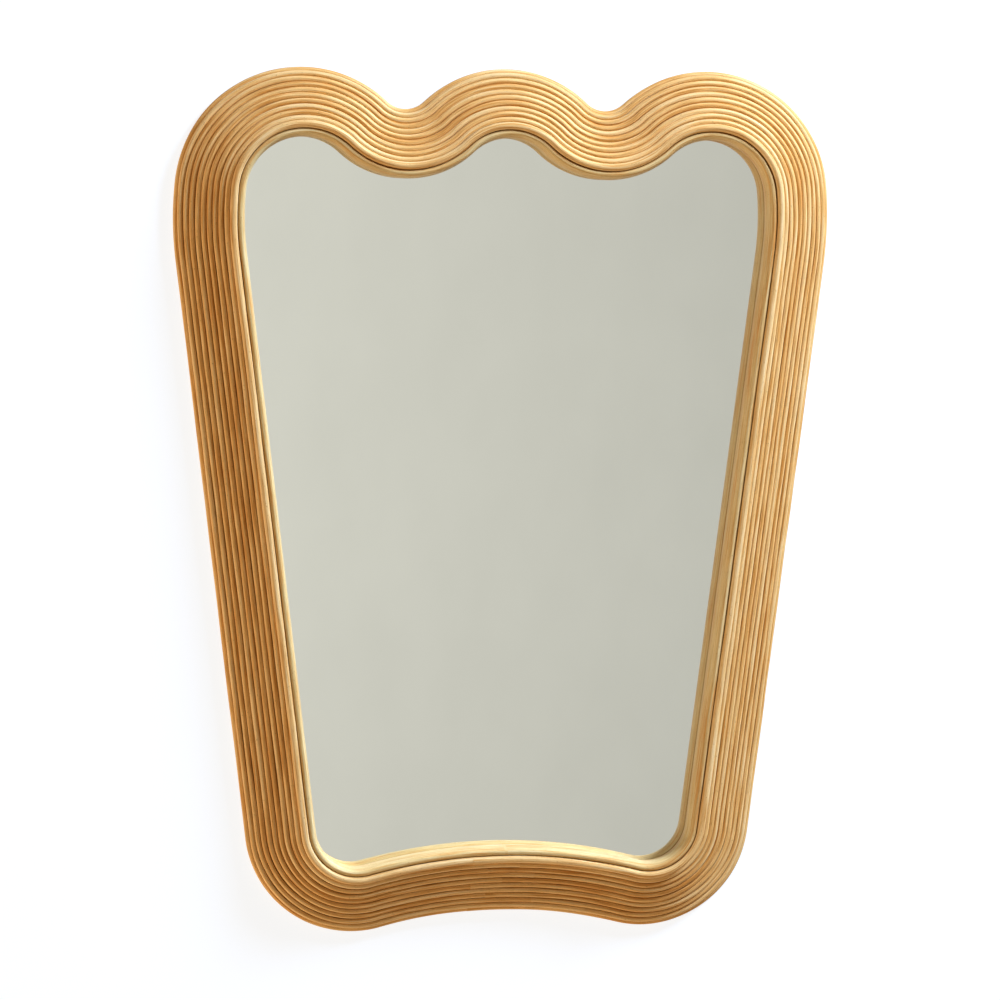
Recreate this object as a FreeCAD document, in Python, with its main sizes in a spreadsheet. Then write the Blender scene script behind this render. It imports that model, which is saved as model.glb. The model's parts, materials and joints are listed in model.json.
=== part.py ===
"""Wall mirror with a wavy frame of bent reed courses, a set-back pane and two hanging rings.

Millimetres. +X is to the viewer's right, +Z is up and the mirror faces -Y.
The wall plane is Y = 0, and the origin is the middle of the back.
"""
import FreeCAD, Part
import math
import os

import Sketcher

V = FreeCAD.Vector

# Driving dimensions: lengths in millimetres, angles in degrees, and plain counts and shares.
SIZES = {
    # Outline of the frame, measured along its outermost edge
    "overall_height": 918.0,
    "lobe_radius": 127.0,
    "valley_radius": 29.0,
    "wave_depth": 43.0,
    "corner_radius": 134.0,
    "bow_radius": 385.0,
    "bow_angle": 5.0,
    "foot_radius": 116.5,
    "foot_spread": 316.0,
    "arch_rise": 20.0,
    # Reed courses laid side by side up the bevel
    "reed_diameter": 6.5,
    "crest_diameter": 8.0,
    "glue_gap": 0.1,
    "wall_clearance": 0.3,
    "under_angle": 54.0,
    "bevel_angle": 28.5,
    "butt_gap": 0.2,
    "butt_step": 17.0,
    # Lip inside the crest: a foot on the pane, a bowed face and a round nose a little below the crest
    "lip_foot_width": 6.6,
    "lip_face_radius": 40.0,
    "lip_nose_radius": 3.3,
    "lip_drop": 2.2,
    # Pane, backing board and the two steps that they sit in
    "pane_thickness": 4.0,
    "pane_step_inset": 60.0,
    "pane_edge_clearance": 1.0,
    "pane_front_clearance": 0.3,
    "board_thickness": 4.0,
    "board_step_inset": 50.0,
    "board_edge_clearance": 0.5,
    # Screws that hold the backing board
    "board_screw_inset": 55.0,
    "board_screw_diameter": 3.0,
    "board_screw_length": 13.0,
    "board_screw_head_diameter": 6.0,
    "board_screw_head_height": 1.4,
    "board_screw_sink": 0.2,
    "screw_hole_clearance": 0.2,
    # Hanging rings, their straps and the pockets that they lie in
    "hanger_inset": 34.0,
    "pocket_width": 27.0,
    "pocket_depth": 8.0,
    "pocket_end_clearance": 3.0,
    "pocket_corner_radius": 4.0,
    "strap_width": 11.0,
    "strap_length": 46.0,
    "strap_thickness": 1.2,
    "barrel_diameter": 6.0,
    "ring_wire": 2.6,
    "ring_clearance": 0.3,
    "ring_half_width": 9.5,
    "ring_corner_radius": 3.5,
    "hanger_screw_first": 22.0,
    "hanger_screw_pitch": 16.0,
    "hanger_screw_diameter": 3.2,
    "hanger_screw_length": 10.0,
    "hanger_screw_head_diameter": 6.4,
    "hanger_screw_head_height": 1.5,
    # Length that a cut runs past the face it leaves by
    "overrun": 5.0,
}
FACE_REED_COUNT = 9
# Butt joints repeat after this many courses, and neighbours part this many steps from each other.
BUTT_CYCLE = 5
BUTT_HOP = 2
HANDS = ((-1, "left"), (1, "right"))
# Places of the side screws along each straight side, from the foot upwards
SIDE_SCREW_SHARES = (0.1, 0.5, 0.9)

doc = FreeCAD.newDocument("wavy_mirror")
sheet = doc.addObject("Spreadsheet::Sheet", "Sizes")
for row, (alias, number) in enumerate(SIZES.items(), start=1):
    sheet.set(f"A{row}", alias)
    sheet.set(f"B{row}", str(number))
    sheet.setAlias(f"B{row}", alias)
doc.recompute()


def cell(alias):
    """Expression text that reads one cell of the sheet."""
    return f"Sizes.{alias}"


def value(expression):
    """Present number of an expression over the sheet."""
    result = sheet.evalExpression(expression.replace("Sizes.", ""))
    return float(getattr(result, "Value", result))


# Outline centres, as expressions over the sheet.
HEIGHT = cell("overall_height")
LOBE_R = cell("lobe_radius")
VALLEY_R = cell("valley_radius")
WAVE = cell("wave_depth")
CORNER_R = cell("corner_radius")
BOW_R = cell("bow_radius")
BOW_ANGLE = cell("bow_angle")
FOOT_R = cell("foot_radius")
FOOT_X = f"{cell('foot_spread')} / 2"
ARCH = cell("arch_rise")
MIDDLE = f"({HEIGHT} / 2)"


def wave_run(radius):
    """Sideways distance from a crest centre to the valley centre that it runs into."""
    total = f"({radius} + {VALLEY_R})"
    return f"sqrt({total} ^ 2 - ({total} - {WAVE}) ^ 2)"


LOBE_Z = f"({HEIGHT} - {LOBE_R} - {MIDDLE})"
VALLEY_X = wave_run(LOBE_R)
VALLEY_Z = f"({HEIGHT} - {WAVE} + {VALLEY_R} - {MIDDLE})"
CORNER_X = f"({VALLEY_X} + {wave_run(CORNER_R)})"
CORNER_Z = f"({HEIGHT} - {CORNER_R} - {MIDDLE})"
BOW_X = f"({CORNER_X} - ({BOW_R} - {CORNER_R}) * cos({BOW_ANGLE}))"
BOW_Z = f"({CORNER_Z} - ({BOW_R} - {CORNER_R}) * sin({BOW_ANGLE}))"
FOOT_Z = f"({FOOT_R} - {MIDDLE})"
ARCH_R = f"((({FOOT_X}) ^ 2 + ({FOOT_R} - {ARCH}) ^ 2 - {FOOT_R} ^ 2) / (2 * {ARCH}))"
ARCH_Z = f"({ARCH} - {ARCH_R} - {MIDDLE})"
ARCH_TOP = f"({ARCH} - {MIDDLE})"

# Section through the frame: an inset runs inwards from the outer edge, a lift runs out from the wall.
REED_R = f"({cell('reed_diameter')} / 2)"
CREST_R = f"({cell('crest_diameter')} / 2)"
GAP = cell("glue_gap")
PITCH = f"({cell('reed_diameter')} + {GAP})"
SLOPE = cell("bevel_angle")
UNDER = cell("under_angle")
BED = f"({REED_R} + {GAP})"


def reed_inset(course):
    """Inset of a face reed's centre, counted from 1 at the outer edge."""
    return f"({REED_R} + {PITCH} * (cos({UNDER}) + {course - 1} * cos({SLOPE})))"


def reed_lift(course):
    """Lift of a face reed's centre."""
    return f"({UNDER_LIFT} + {PITCH} * (sin({UNDER}) + {course - 1} * sin({SLOPE})))"


UNDER_LIFT = f"({cell('wall_clearance')} + {REED_R})"
CREST_RISE = f"({CREST_R} - {REED_R})"
CREST_RUN = f"sqrt(({CREST_R} + {REED_R} + {GAP}) ^ 2 - {CREST_RISE} ^ 2)"
CREST_INSET = f"({reed_inset(FACE_REED_COUNT)} + {CREST_RUN} * cos({SLOPE}) - {CREST_RISE} * sin({SLOPE}))"
CREST_LIFT = f"({reed_lift(FACE_REED_COUNT)} + {CREST_RUN} * sin({SLOPE}) + {CREST_RISE} * cos({SLOPE}))"
OUTER_WALL = f"({cell('reed_diameter')} + {GAP})"
INNER_WALL = f"({CREST_INSET} + {CREST_R})"
BED_INSET = f"({reed_inset(1)} + {BED} * sin({SLOPE}))"
BED_LIFT = f"({reed_lift(1)} - {BED} * cos({SLOPE}))"
OUTER_TOP = f"({BED_LIFT} - ({BED_INSET} - {OUTER_WALL}) * tan({SLOPE}))"
INNER_TOP = f"({BED_LIFT} + ({INNER_WALL} - {BED_INSET}) * tan({SLOPE}))"
BOARD = cell("board_thickness")
PANE_FRONT = f"({BOARD} + {cell('pane_thickness')})"
STEP_TOP = f"({PANE_FRONT} + {cell('pane_front_clearance')})"
LIP_BACK = f"({INNER_WALL} + {GAP})"
LIP_NOSE_R = cell("lip_nose_radius")
LIP_NOSE_LIFT = f"({CREST_LIFT} + {CREST_R} - {cell('lip_drop')} - {LIP_NOSE_R})"

# Hanging rings: their bar lies level with the widest part of the frame.
HANGER_X = f"({BOW_X} + {BOW_R} - {cell('hanger_inset')})"
HANGER_Z = BOW_Z
HANGER_LIFT = f"({cell('pocket_depth')} - {cell('barrel_diameter')} / 2)"
RING_REACH = f"({cell('ring_corner_radius')} + {cell('ring_half_width')} + {cell('ring_wire')} / 2)"
STRAP_LIFT = f"({cell('pocket_depth')} - {cell('strap_thickness')})"


def plane_of(body, role):
    """One of a body's own origin planes."""
    return next(item for item in body.Origin.OriginFeatures if item.Role == role)


def new_body(label):
    """Empty body that becomes one node."""
    body = doc.addObject("PartDesign::Body", label)
    body.Label = label
    return body


def new_sketch(body, name, role, lift="0"):
    """Sketch on an origin plane of its body, lifted along the plane's normal."""
    sketch = body.newObject("Sketcher::SketchObject", f"{body.Name}_{name}")
    sketch.AttachmentSupport = (plane_of(body, role), "")
    sketch.MapMode = "FlatFace"
    sketch.setExpression(".AttachmentOffset.Base.z", lift)
    doc.recompute()
    return sketch


def bind(sketch, kind, *places, to):
    """Add a dimension to a sketch and tie it to an expression."""
    index = sketch.addConstraint(Sketcher.Constraint(kind, *places, value(to)))
    sketch.setExpression(f"Constraints[{index}]", to)


def place_along(sketch, kind, geometry, position, expression):
    """Tie one coordinate of a sketch point to an expression, measured from the sketch's origin."""
    if value(expression) < 0:
        bind(sketch, kind, geometry, position, -1, 1, to=f"-({expression})")
    else:
        bind(sketch, kind, -1, 1, geometry, position, to=expression)


def place_point(sketch, geometry, position, across, along):
    """Tie both coordinates of a sketch point to expressions."""
    place_along(sketch, "DistanceX", geometry, position, across)
    place_along(sketch, "DistanceY", geometry, position, along)


def add_circle(sketch, across, along, radius):
    """Circle whose centre and radius follow expressions."""
    centre = V(value(across), value(along), 0)
    index = sketch.addGeometry(Part.Circle(centre, V(0, 0, 1), value(radius)))
    bind(sketch, "Radius", index, to=radius)
    place_point(sketch, index, 3, across, along)


def add_polygon(sketch, corners):
    """Closed outline of straight edges through corners given as pairs of expressions."""
    points = [V(value(across), value(along), 0) for across, along in corners]
    first = sketch.GeometryCount
    count = len(points)
    for index in range(count):
        sketch.addGeometry(Part.LineSegment(points[index], points[(index + 1) % count]))
    for index in range(count):
        follower = first + (index + 1) % count
        sketch.addConstraint(Sketcher.Constraint("Coincident", first + index, 2, follower, 1))
        place_point(sketch, first + index, 1, *corners[index])


class Run:
    """One arc or straight edge of a course, in the order in which the course runs."""

    def __init__(self, centre=None, radius=None, hollow=False):
        self.centre = centre
        self.radius = radius
        self.hollow = hollow
        # A hollow arc runs anticlockwise, a crowned one clockwise.
        self.enter, self.leave = (1, 2) if hollow or centre is None else (2, 1)


def touching_line(first, second):
    """Ends of the straight edge that runs from one crowned arc to the next."""
    (centre_a, radius_a), (centre_b, radius_b) = first, second
    step = centre_b - centre_a
    lean = math.asin((radius_a - radius_b) / step.Length)
    angle = math.atan2(step.y, step.x) - lean
    normal = V(-math.sin(angle), math.cos(angle), 0)
    return centre_a + normal * radius_a, centre_b + normal * radius_b


def meeting_point(first, second):
    """Point where two touching arcs meet."""
    (centre_a, radius_a, hollow_a), (centre_b, radius_b, hollow_b) = first, second
    away = (centre_b - centre_a).normalize()
    if hollow_a == hollow_b and radius_a < radius_b:
        away = away * -1
    return centre_a + away * radius_a


def loop_sketch(body, name, inset, lift="0"):
    """The frame's outline, moved inwards by an inset, starting at the middle of the bottom arch."""
    sketch = new_sketch(body, name, "XZ_Plane", lift)
    crowned = {
        "lobe": ("0", LOBE_Z, LOBE_R),
        "corner": (CORNER_X, CORNER_Z, CORNER_R),
        "bow": (BOW_X, BOW_Z, BOW_R),
        "foot": (FOOT_X, FOOT_Z, FOOT_R),
    }
    hollow = {"valley": (VALLEY_X, VALLEY_Z, VALLEY_R), "arch": ("0", ARCH_Z, ARCH_R)}
    climb = ("arch", "foot", "side", "bow", "corner", "valley")
    order = [(part, -1) for part in climb] + [("lobe", 1)] + [(part, 1) for part in reversed(climb)]

    runs = []
    for part, side in order:
        if part == "side":
            runs.append(Run())
            continue
        across, along, radius = crowned.get(part) or hollow[part]
        size = f"({radius} + {inset})" if part in hollow else f"({radius} - {inset})"
        runs.append(Run(V(side * value(across), value(along), 0), size, part in hollow))

    # Joints between neighbouring runs; the first and last are the two halves of the arch.
    middle = V(0, value(f"{ARCH_TOP} + {inset}"), 0)
    starts = [None] * len(runs)
    ends = [None] * len(runs)
    starts[0] = ends[-1] = middle
    for index in range(len(runs) - 1):
        here, after = runs[index], runs[index + 1]
        if here.centre is not None and after.centre is not None:
            joint = meeting_point(
                (here.centre, value(here.radius), here.hollow),
                (after.centre, value(after.radius), after.hollow))
            ends[index] = starts[index + 1] = joint
    for index, run in enumerate(runs):
        if run.centre is None:
            neighbours = [(near.centre, value(near.radius)) for near in (runs[index - 1], runs[index + 1])]
            start, end = touching_line(*neighbours)
            ends[index - 1] = starts[index] = start
            ends[index] = starts[index + 1] = end

    for run, start, end in zip(runs, starts, ends):
        if run.centre is None:
            sketch.addGeometry(Part.LineSegment(start, end))
            continue
        first, last = (start, end) if run.hollow else (end, start)
        angles = [math.atan2(point.y - run.centre.y, point.x - run.centre.x) for point in (first, last)]
        circle = Part.Circle(run.centre, V(0, 0, 1), value(run.radius))
        sketch.addGeometry(Part.ArcOfCircle(circle, angles[0], angles[1]))

    for index in range(len(runs) - 1):
        places = (index, runs[index].leave, index + 1, runs[index + 1].enter)
        sketch.addConstraint(Sketcher.Constraint("Tangent", *places))
    closing = len(runs) - 1
    sketch.addConstraint(Sketcher.Constraint("Coincident", closing, runs[-1].leave, 0, runs[0].enter))
    sketch.addConstraint(Sketcher.Constraint("Coincident", closing, 3, 0, 3))
    sketch.addConstraint(Sketcher.Constraint("PointOnObject", 0, runs[0].enter, -2))

    for index, (part, side) in enumerate(order[:-1]):
        if part == "side":
            continue
        bind(sketch, "Radius", index, to=runs[index].radius)
        if part == "arch":
            continue
        across, along, _ = crowned.get(part) or hollow[part]
        if part == "foot":
            place_point(sketch, index, 3, across if side > 0 else f"-({across})", along)
        else:
            if part == "lobe":
                sketch.addConstraint(Sketcher.Constraint("PointOnObject", index, 3, -2))
            place_along(sketch, "DistanceY", index, 3, along)
    doc.recompute()
    return sketch


def pipe(body, profile, path):
    """Carry a section along a closed course."""
    feature = body.newObject("PartDesign::AdditivePipe", f"{body.Name}_pipe")
    feature.Profile = profile
    feature.Spine = (path, [f"Edge{index + 1}" for index in range(path.GeometryCount)])
    doc.recompute()
    return feature


def pad(body, sketch, length, name="pad"):
    """Thicken a sketch along its plane's normal."""
    feature = body.newObject("PartDesign::Pad", f"{body.Name}_{name}")
    feature.Profile = sketch
    feature.setExpression("Length", length)
    doc.recompute()
    return feature


def pocket(body, sketch, depth, name="pocket"):
    """Cut a sketch into the body, out from the wall side."""
    feature = body.newObject("PartDesign::Pocket", f"{body.Name}_{name}")
    feature.Profile = sketch
    feature.setExpression("Length", depth)
    feature.Reversed = True
    doc.recompute()
    return feature


def add_rounded_box(sketch, left, right, low, high, radius):
    """Rectangle with rounded corners between four expressions."""
    corner = value(radius)
    west, east, south, north = (value(edge) for edge in (left, right, low, high))
    sides = [
        (V(west + corner, south, 0), V(east - corner, south, 0)),
        (V(east, south + corner, 0), V(east, north - corner, 0)),
        (V(east - corner, north, 0), V(west + corner, north, 0)),
        (V(west, north - corner, 0), V(west, south + corner, 0)),
    ]
    centres = [(east - corner, south + corner), (east - corner, north - corner)]
    centres += [(west + corner, north - corner), (west + corner, south + corner)]
    for index, (start, end) in enumerate(sides):
        sketch.addGeometry(Part.LineSegment(start, end))
        circle = Part.Circle(V(*centres[index], 0), V(0, 0, 1), corner)
        turn = (index - 1) * math.pi / 2
        sketch.addGeometry(Part.ArcOfCircle(circle, turn, turn + math.pi / 2))
    count = sketch.GeometryCount
    for index in range(count):
        sketch.addConstraint(Sketcher.Constraint("Tangent", index, 2, (index + 1) % count, 1))
    for line, kind in ((0, "Horizontal"), (2, "Vertical"), (4, "Horizontal"), (6, "Vertical")):
        sketch.addConstraint(Sketcher.Constraint(kind, line))
    bind(sketch, "Radius", 1, to=radius)
    for arc in (3, 5, 7):
        sketch.addConstraint(Sketcher.Constraint("Equal", 1, arc))
    for line, kind, edge in ((0, "DistanceY", low), (2, "DistanceX", right)):
        place_along(sketch, kind, line, 1, edge)
    for line, kind, edge in ((4, "DistanceY", high), (6, "DistanceX", left)):
        place_along(sketch, kind, line, 1, edge)


def reed(label, inset, lift, radius, course):
    """One bent reed: a closed course with a fine butt joint in the bottom arch."""
    body = new_body(label)
    path = loop_sketch(body, "path", inset, lift)
    section = new_sketch(body, "section", "YZ_Plane")
    along = f"({ARCH_TOP} + {inset})"
    add_circle(section, f"-({lift})", along, radius)
    pipe(body, section, path)
    # Joints step to and fro across the middle, so that no two neighbours part at one place.
    steps = (course * BUTT_HOP) % BUTT_CYCLE - BUTT_CYCLE // 2
    joint = f"({steps} * {cell('butt_step')})"
    reach = f"({radius} + {cell('overrun')})"
    cut = new_sketch(body, "butt", "XZ_Plane", f"{lift} - {reach}")
    left = f"({joint} - {cell('butt_gap')} / 2)"
    right = f"({joint} + {cell('butt_gap')} / 2)"
    low = f"({along} - {reach})"
    high = f"({along} + {reach})"
    add_polygon(cut, [(left, low), (right, low), (right, high), (left, high)])
    pocket(body, cut, f"2 * {reach}", "butt_cut")


def lip():
    """Lip between the crest and the pane: a flat back and foot, a bowed face and a round nose."""
    body = new_body("inner_lip")
    path = loop_sketch(body, "path", LIP_BACK)
    section = new_sketch(body, "section", "YZ_Plane")
    along = f"({ARCH_TOP} + {LIP_BACK})"
    toe = f"({along} + {cell('lip_foot_width')})"
    heel = V(-value(STEP_TOP), value(along), 0)
    foot = V(-value(STEP_TOP), value(toe), 0)
    back = V(-value(LIP_NOSE_LIFT), value(along), 0)
    nose_radius = value(LIP_NOSE_R)
    face_radius = value(cell("lip_face_radius"))
    nose = back + V(0, nose_radius, 0)
    # The face's centre lies a face radius from the toe, and so far from the nose that the two arcs touch.
    span = (foot - nose).Length
    way = (foot - nose) / span
    reach = face_radius - nose_radius
    run = (span ** 2 + reach ** 2 - face_radius ** 2) / (2 * span)
    bow = nose + way * run + V(way.y, -way.x, 0) * math.sqrt(reach ** 2 - run ** 2)
    landing = math.atan2(foot.y - bow.y, foot.x - bow.x)
    meeting = math.atan2(nose.y - bow.y, nose.x - bow.x)
    axis = V(0, 0, 1)
    section.addGeometry(Part.LineSegment(back, heel))
    section.addGeometry(Part.LineSegment(heel, foot))
    section.addGeometry(Part.ArcOfCircle(Part.Circle(bow, axis, face_radius), landing, meeting))
    section.addGeometry(Part.ArcOfCircle(Part.Circle(nose, axis, nose_radius), meeting, 3 * math.pi / 2))
    section.addConstraint(Sketcher.Constraint("Coincident", 0, 2, 1, 1))
    section.addConstraint(Sketcher.Constraint("Coincident", 1, 2, 2, 1))
    section.addConstraint(Sketcher.Constraint("Tangent", 2, 2, 3, 1))
    section.addConstraint(Sketcher.Constraint("Tangent", 3, 2, 0, 1))
    section.addConstraint(Sketcher.Constraint("Horizontal", 0))
    section.addConstraint(Sketcher.Constraint("Vertical", 1))
    place_point(section, 0, 2, f"-({STEP_TOP})", along)
    place_along(section, "DistanceY", 1, 2, toe)
    place_along(section, "DistanceX", 0, 1, f"-({LIP_NOSE_LIFT})")
    bind(section, "Radius", 2, to=cell("lip_face_radius"))
    bind(section, "Radius", 3, to=LIP_NOSE_R)
    doc.recompute()
    pipe(body, section, path)


def former():
    """Bevelled former that carries the reeds, with two steps and the hanger pockets in its back."""
    body = new_body("bevel_former")
    path = loop_sketch(body, "path", OUTER_WALL)
    section = new_sketch(body, "section", "YZ_Plane")
    corners = [
        (OUTER_WALL, "0"),
        (cell("board_step_inset"), "0"),
        (cell("board_step_inset"), BOARD),
        (cell("pane_step_inset"), BOARD),
        (cell("pane_step_inset"), STEP_TOP),
        (INNER_WALL, STEP_TOP),
        (INNER_WALL, INNER_TOP),
        (OUTER_WALL, OUTER_TOP),
    ]
    add_polygon(section, [(f"-({lift})", f"({ARCH_TOP} + {inset})") for inset, lift in corners])
    pipe(body, section, path)
    half = f"({cell('pocket_width')} / 2)"
    low = f"({HANGER_Z} - {cell('strap_length')} - {cell('pocket_end_clearance')})"
    high = f"({HANGER_Z} + {RING_REACH} + {cell('pocket_end_clearance')})"
    for side, hand in HANDS:
        middle = f"({side} * {HANGER_X})"
        cut = new_sketch(body, f"{hand}_pocket", "XZ_Plane", f"-({cell('overrun')})")
        box = (f"({middle} - {half})", f"({middle} + {half})", low, high)
        add_rounded_box(cut, *box, cell("pocket_corner_radius"))
        pocket(body, cut, f"{cell('pocket_depth')} + {cell('overrun')}", f"{hand}_pocket_cut")


def pane():
    """Silvered glass pane, between the backing board and the former's inner step."""
    body = new_body("mirror_pane")
    inset = f"({cell('pane_step_inset')} + {cell('pane_edge_clearance')})"
    pad(body, loop_sketch(body, "outline", inset, BOARD), cell("pane_thickness"))


def screw_places():
    """Places of the board's screws, all on one course inside the frame's outline."""
    inset = cell("board_screw_inset")
    places = [("0", f"({ARCH_TOP} + {inset})"), ("0", f"({LOBE_Z} + {LOBE_R} - {inset})")]
    run = f"({BOW_X} - {FOOT_X})"
    climb = f"({BOW_Z} - {FOOT_Z})"
    span = f"sqrt({run} ^ 2 + {climb} ^ 2)"
    facing = f"(atan2({climb}; {run}) - acos(({FOOT_R} - {BOW_R}) / {span}))"
    for side, _ in HANDS:
        places.append((f"({side} * {CORNER_X})", f"({CORNER_Z} + {CORNER_R} - {inset})"))
        places.append((f"({side} * {FOOT_X})", f"({FOOT_Z} - {FOOT_R} + {inset})"))
        for share in SIDE_SCREW_SHARES:
            reach = f"({FOOT_R} - {inset} + {share} * ({BOW_R} - {FOOT_R}))"
            across = f"({FOOT_X} + {share} * {run} + {reach} * cos({facing}))"
            along = f"({FOOT_Z} + {share} * {climb} + {reach} * sin({facing}))"
            places.append((f"({side} * {across})", along))
    return places


def round_group(body, name, places, diameter, lift):
    """Sketch of equal circles, one at each place."""
    sketch = new_sketch(body, name, "XZ_Plane", lift)
    for across, along in places:
        add_circle(sketch, across, along, f"({diameter}) / 2")
    doc.recompute()
    return sketch


def board():
    """Backing board, flush with the former's back, with counterbored screw holes."""
    body = new_body("backing_board")
    inset = f"({cell('board_step_inset')} + {cell('board_edge_clearance')})"
    pad(body, loop_sketch(body, "outline", inset), BOARD)
    loose = f"2 * {cell('screw_hole_clearance')}"
    start = f"-({cell('overrun')})"
    head = f"{cell('board_screw_head_diameter')} + {loose}"
    hole = f"{cell('board_screw_diameter')} + {loose}"
    sunk = f"{cell('board_screw_sink')} + {cell('board_screw_head_height')} + {cell('overrun')}"
    places = screw_places()
    pocket(body, round_group(body, "bores", places, head, start), sunk, "bore_cut")
    through = f"{BOARD} + 2 * {cell('overrun')}"
    pocket(body, round_group(body, "holes", places, hole, start), through, "hole_cut")


def screws(label, places, prefix, head_lift):
    """Group of equal flat-headed screws, driven away from the wall."""
    body = new_body(label)
    height = cell(f"{prefix}_head_height")
    heads = round_group(body, "heads", places, cell(f"{prefix}_head_diameter"), head_lift)
    pad(body, heads, height, "head_pad")
    shanks = round_group(body, "shanks", places, cell(f"{prefix}_diameter"), f"{head_lift} + {height}")
    pad(body, shanks, cell(f"{prefix}_length"), "shank_pad")


def hanger_screw_places(side):
    """Places of the two screws of one strap."""
    first = f"({HANGER_Z} - {cell('hanger_screw_first')})"
    across = f"({side} * {HANGER_X})"
    return [(across, first), (across, f"({first} - {cell('hanger_screw_pitch')})")]


def strap(side, hand):
    """Steel strap of one hanger: a plate on the pocket's floor with a barrel round the ring's bar."""
    body = new_body(f"{hand}_hanger_strap")
    half = f"({cell('strap_width')} / 2)"
    left = f"({side} * {HANGER_X} - {half})"
    right = f"({side} * {HANGER_X} + {half})"
    low = f"({HANGER_Z} - {cell('strap_length')})"
    plate = new_sketch(body, "plate", "XZ_Plane", STRAP_LIFT)
    add_polygon(plate, [(left, low), (right, low), (right, HANGER_Z), (left, HANGER_Z)])
    doc.recompute()
    pad(body, plate, cell("strap_thickness"), "plate_pad")
    barrel = new_sketch(body, "barrel", "YZ_Plane", left)
    bore = f"({cell('ring_wire')} / 2 + {cell('ring_clearance')})"
    for radius in (f"({cell('barrel_diameter')} / 2)", bore):
        add_circle(barrel, f"-({HANGER_LIFT})", HANGER_Z, radius)
    doc.recompute()
    pad(body, barrel, cell("strap_width"), "barrel_pad")
    hole = f"{cell('hanger_screw_diameter')} + 2 * {cell('screw_hole_clearance')}"
    holes = round_group(body, "holes", hanger_screw_places(side), hole, f"-({cell('overrun')})")
    pocket(body, holes, f"{cell('pocket_depth')} + 2 * {cell('overrun')}", "hole_cut")


def ring(side, hand):
    """Wire ring of one hanger, hanging down from its bar."""
    body = new_body(f"{hand}_hanger_ring")
    path = new_sketch(body, "path", "XZ_Plane", HANGER_LIFT)
    across = f"({side} * {HANGER_X})"
    bend = cell("ring_corner_radius")
    half = cell("ring_half_width")
    top = V(value(across), value(HANGER_Z), 0)
    drop = value(bend)
    reach = value(half) - drop
    right_bend = top + V(reach, -drop, 0)
    left_bend = top + V(-reach, -drop, 0)
    bow_centre = top + V(0, -drop, 0)
    quarter = math.pi / 2
    axis = V(0, 0, 1)
    path.addGeometry(Part.LineSegment(top, top + V(reach, 0, 0)))
    path.addGeometry(Part.ArcOfCircle(Part.Circle(right_bend, axis, drop), 0, quarter))
    path.addGeometry(Part.ArcOfCircle(Part.Circle(bow_centre, axis, value(half)), 2 * quarter, 4 * quarter))
    path.addGeometry(Part.ArcOfCircle(Part.Circle(left_bend, axis, drop), quarter, 2 * quarter))
    path.addGeometry(Part.LineSegment(top + V(-reach, 0, 0), top))
    for joint in ((0, 2, 1, 2), (1, 1, 2, 2), (2, 1, 3, 2), (3, 1, 4, 1)):
        path.addConstraint(Sketcher.Constraint("Tangent", *joint))
    path.addConstraint(Sketcher.Constraint("Coincident", 4, 2, 0, 1))
    for line in (0, 4):
        path.addConstraint(Sketcher.Constraint("Horizontal", line))
    for arc, radius in ((1, bend), (2, half), (3, bend)):
        bind(path, "Radius", arc, to=radius)
    place_point(path, 0, 1, across, HANGER_Z)
    place_point(path, 2, 3, across, f"({HANGER_Z} - {bend})")
    doc.recompute()
    section = new_sketch(body, "section", "YZ_Plane", across)
    add_circle(section, f"-({HANGER_LIFT})", HANGER_Z, f"({cell('ring_wire')} / 2)")
    doc.recompute()
    pipe(body, section, path)


reed("under_reed", REED_R, UNDER_LIFT, REED_R, 0)
for course in range(1, FACE_REED_COUNT + 1):
    reed(f"face_reed_{course}", reed_inset(course), reed_lift(course), REED_R, course)
reed("crest_reed", CREST_INSET, CREST_LIFT, CREST_R, FACE_REED_COUNT + 1)
lip()
former()
pane()
board()
screws("board_screws", screw_places(), "board_screw", cell("board_screw_sink"))
for side, hand in HANDS:
    strap(side, hand)
    ring(side, hand)
ALL_HANGER_PLACES = [place for side, _ in HANDS for place in hanger_screw_places(side)]
HEAD_LIFT = f"({STRAP_LIFT} - {cell('hanger_screw_head_height')})"
screws("hanger_screws", ALL_HANGER_PLACES, "hanger_screw", HEAD_LIFT)
doc.recompute()

for item in doc.Objects:
    if "Invalid" in item.State or "Error" in item.State:
        raise RuntimeError(f"{item.Name} failed: {item.State}")
os.makedirs("parts", exist_ok=True)
nodes = [item for item in doc.Objects if item.TypeId == "PartDesign::Body"]
for node in nodes:
    if node.Shape.isNull() or not node.Shape.isValid():
        raise RuntimeError(f"{node.Label} has no valid shape")
for node in nodes:
    node.Shape.exportStep(f"parts/{node.Label}.step")
    print(node.Label, len(node.Shape.Solids), "solids", round(node.Shape.Volume), "mm3")
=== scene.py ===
"""Dressed model of a wall mirror: a wavy frame wound from round reeds, a set-back pane and hanging rings.

Metres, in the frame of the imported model: +X is to the viewer's right, +Z is up, the mirror faces -Y
and the wall is the plane Y = 0. A lift runs out from the wall, an inset runs in from the outer edge.
"""

import json
import logging
import math
from dataclasses import dataclass, field
from enum import Enum

import bmesh
import bpy
from mathutils import Matrix, Vector


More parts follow.
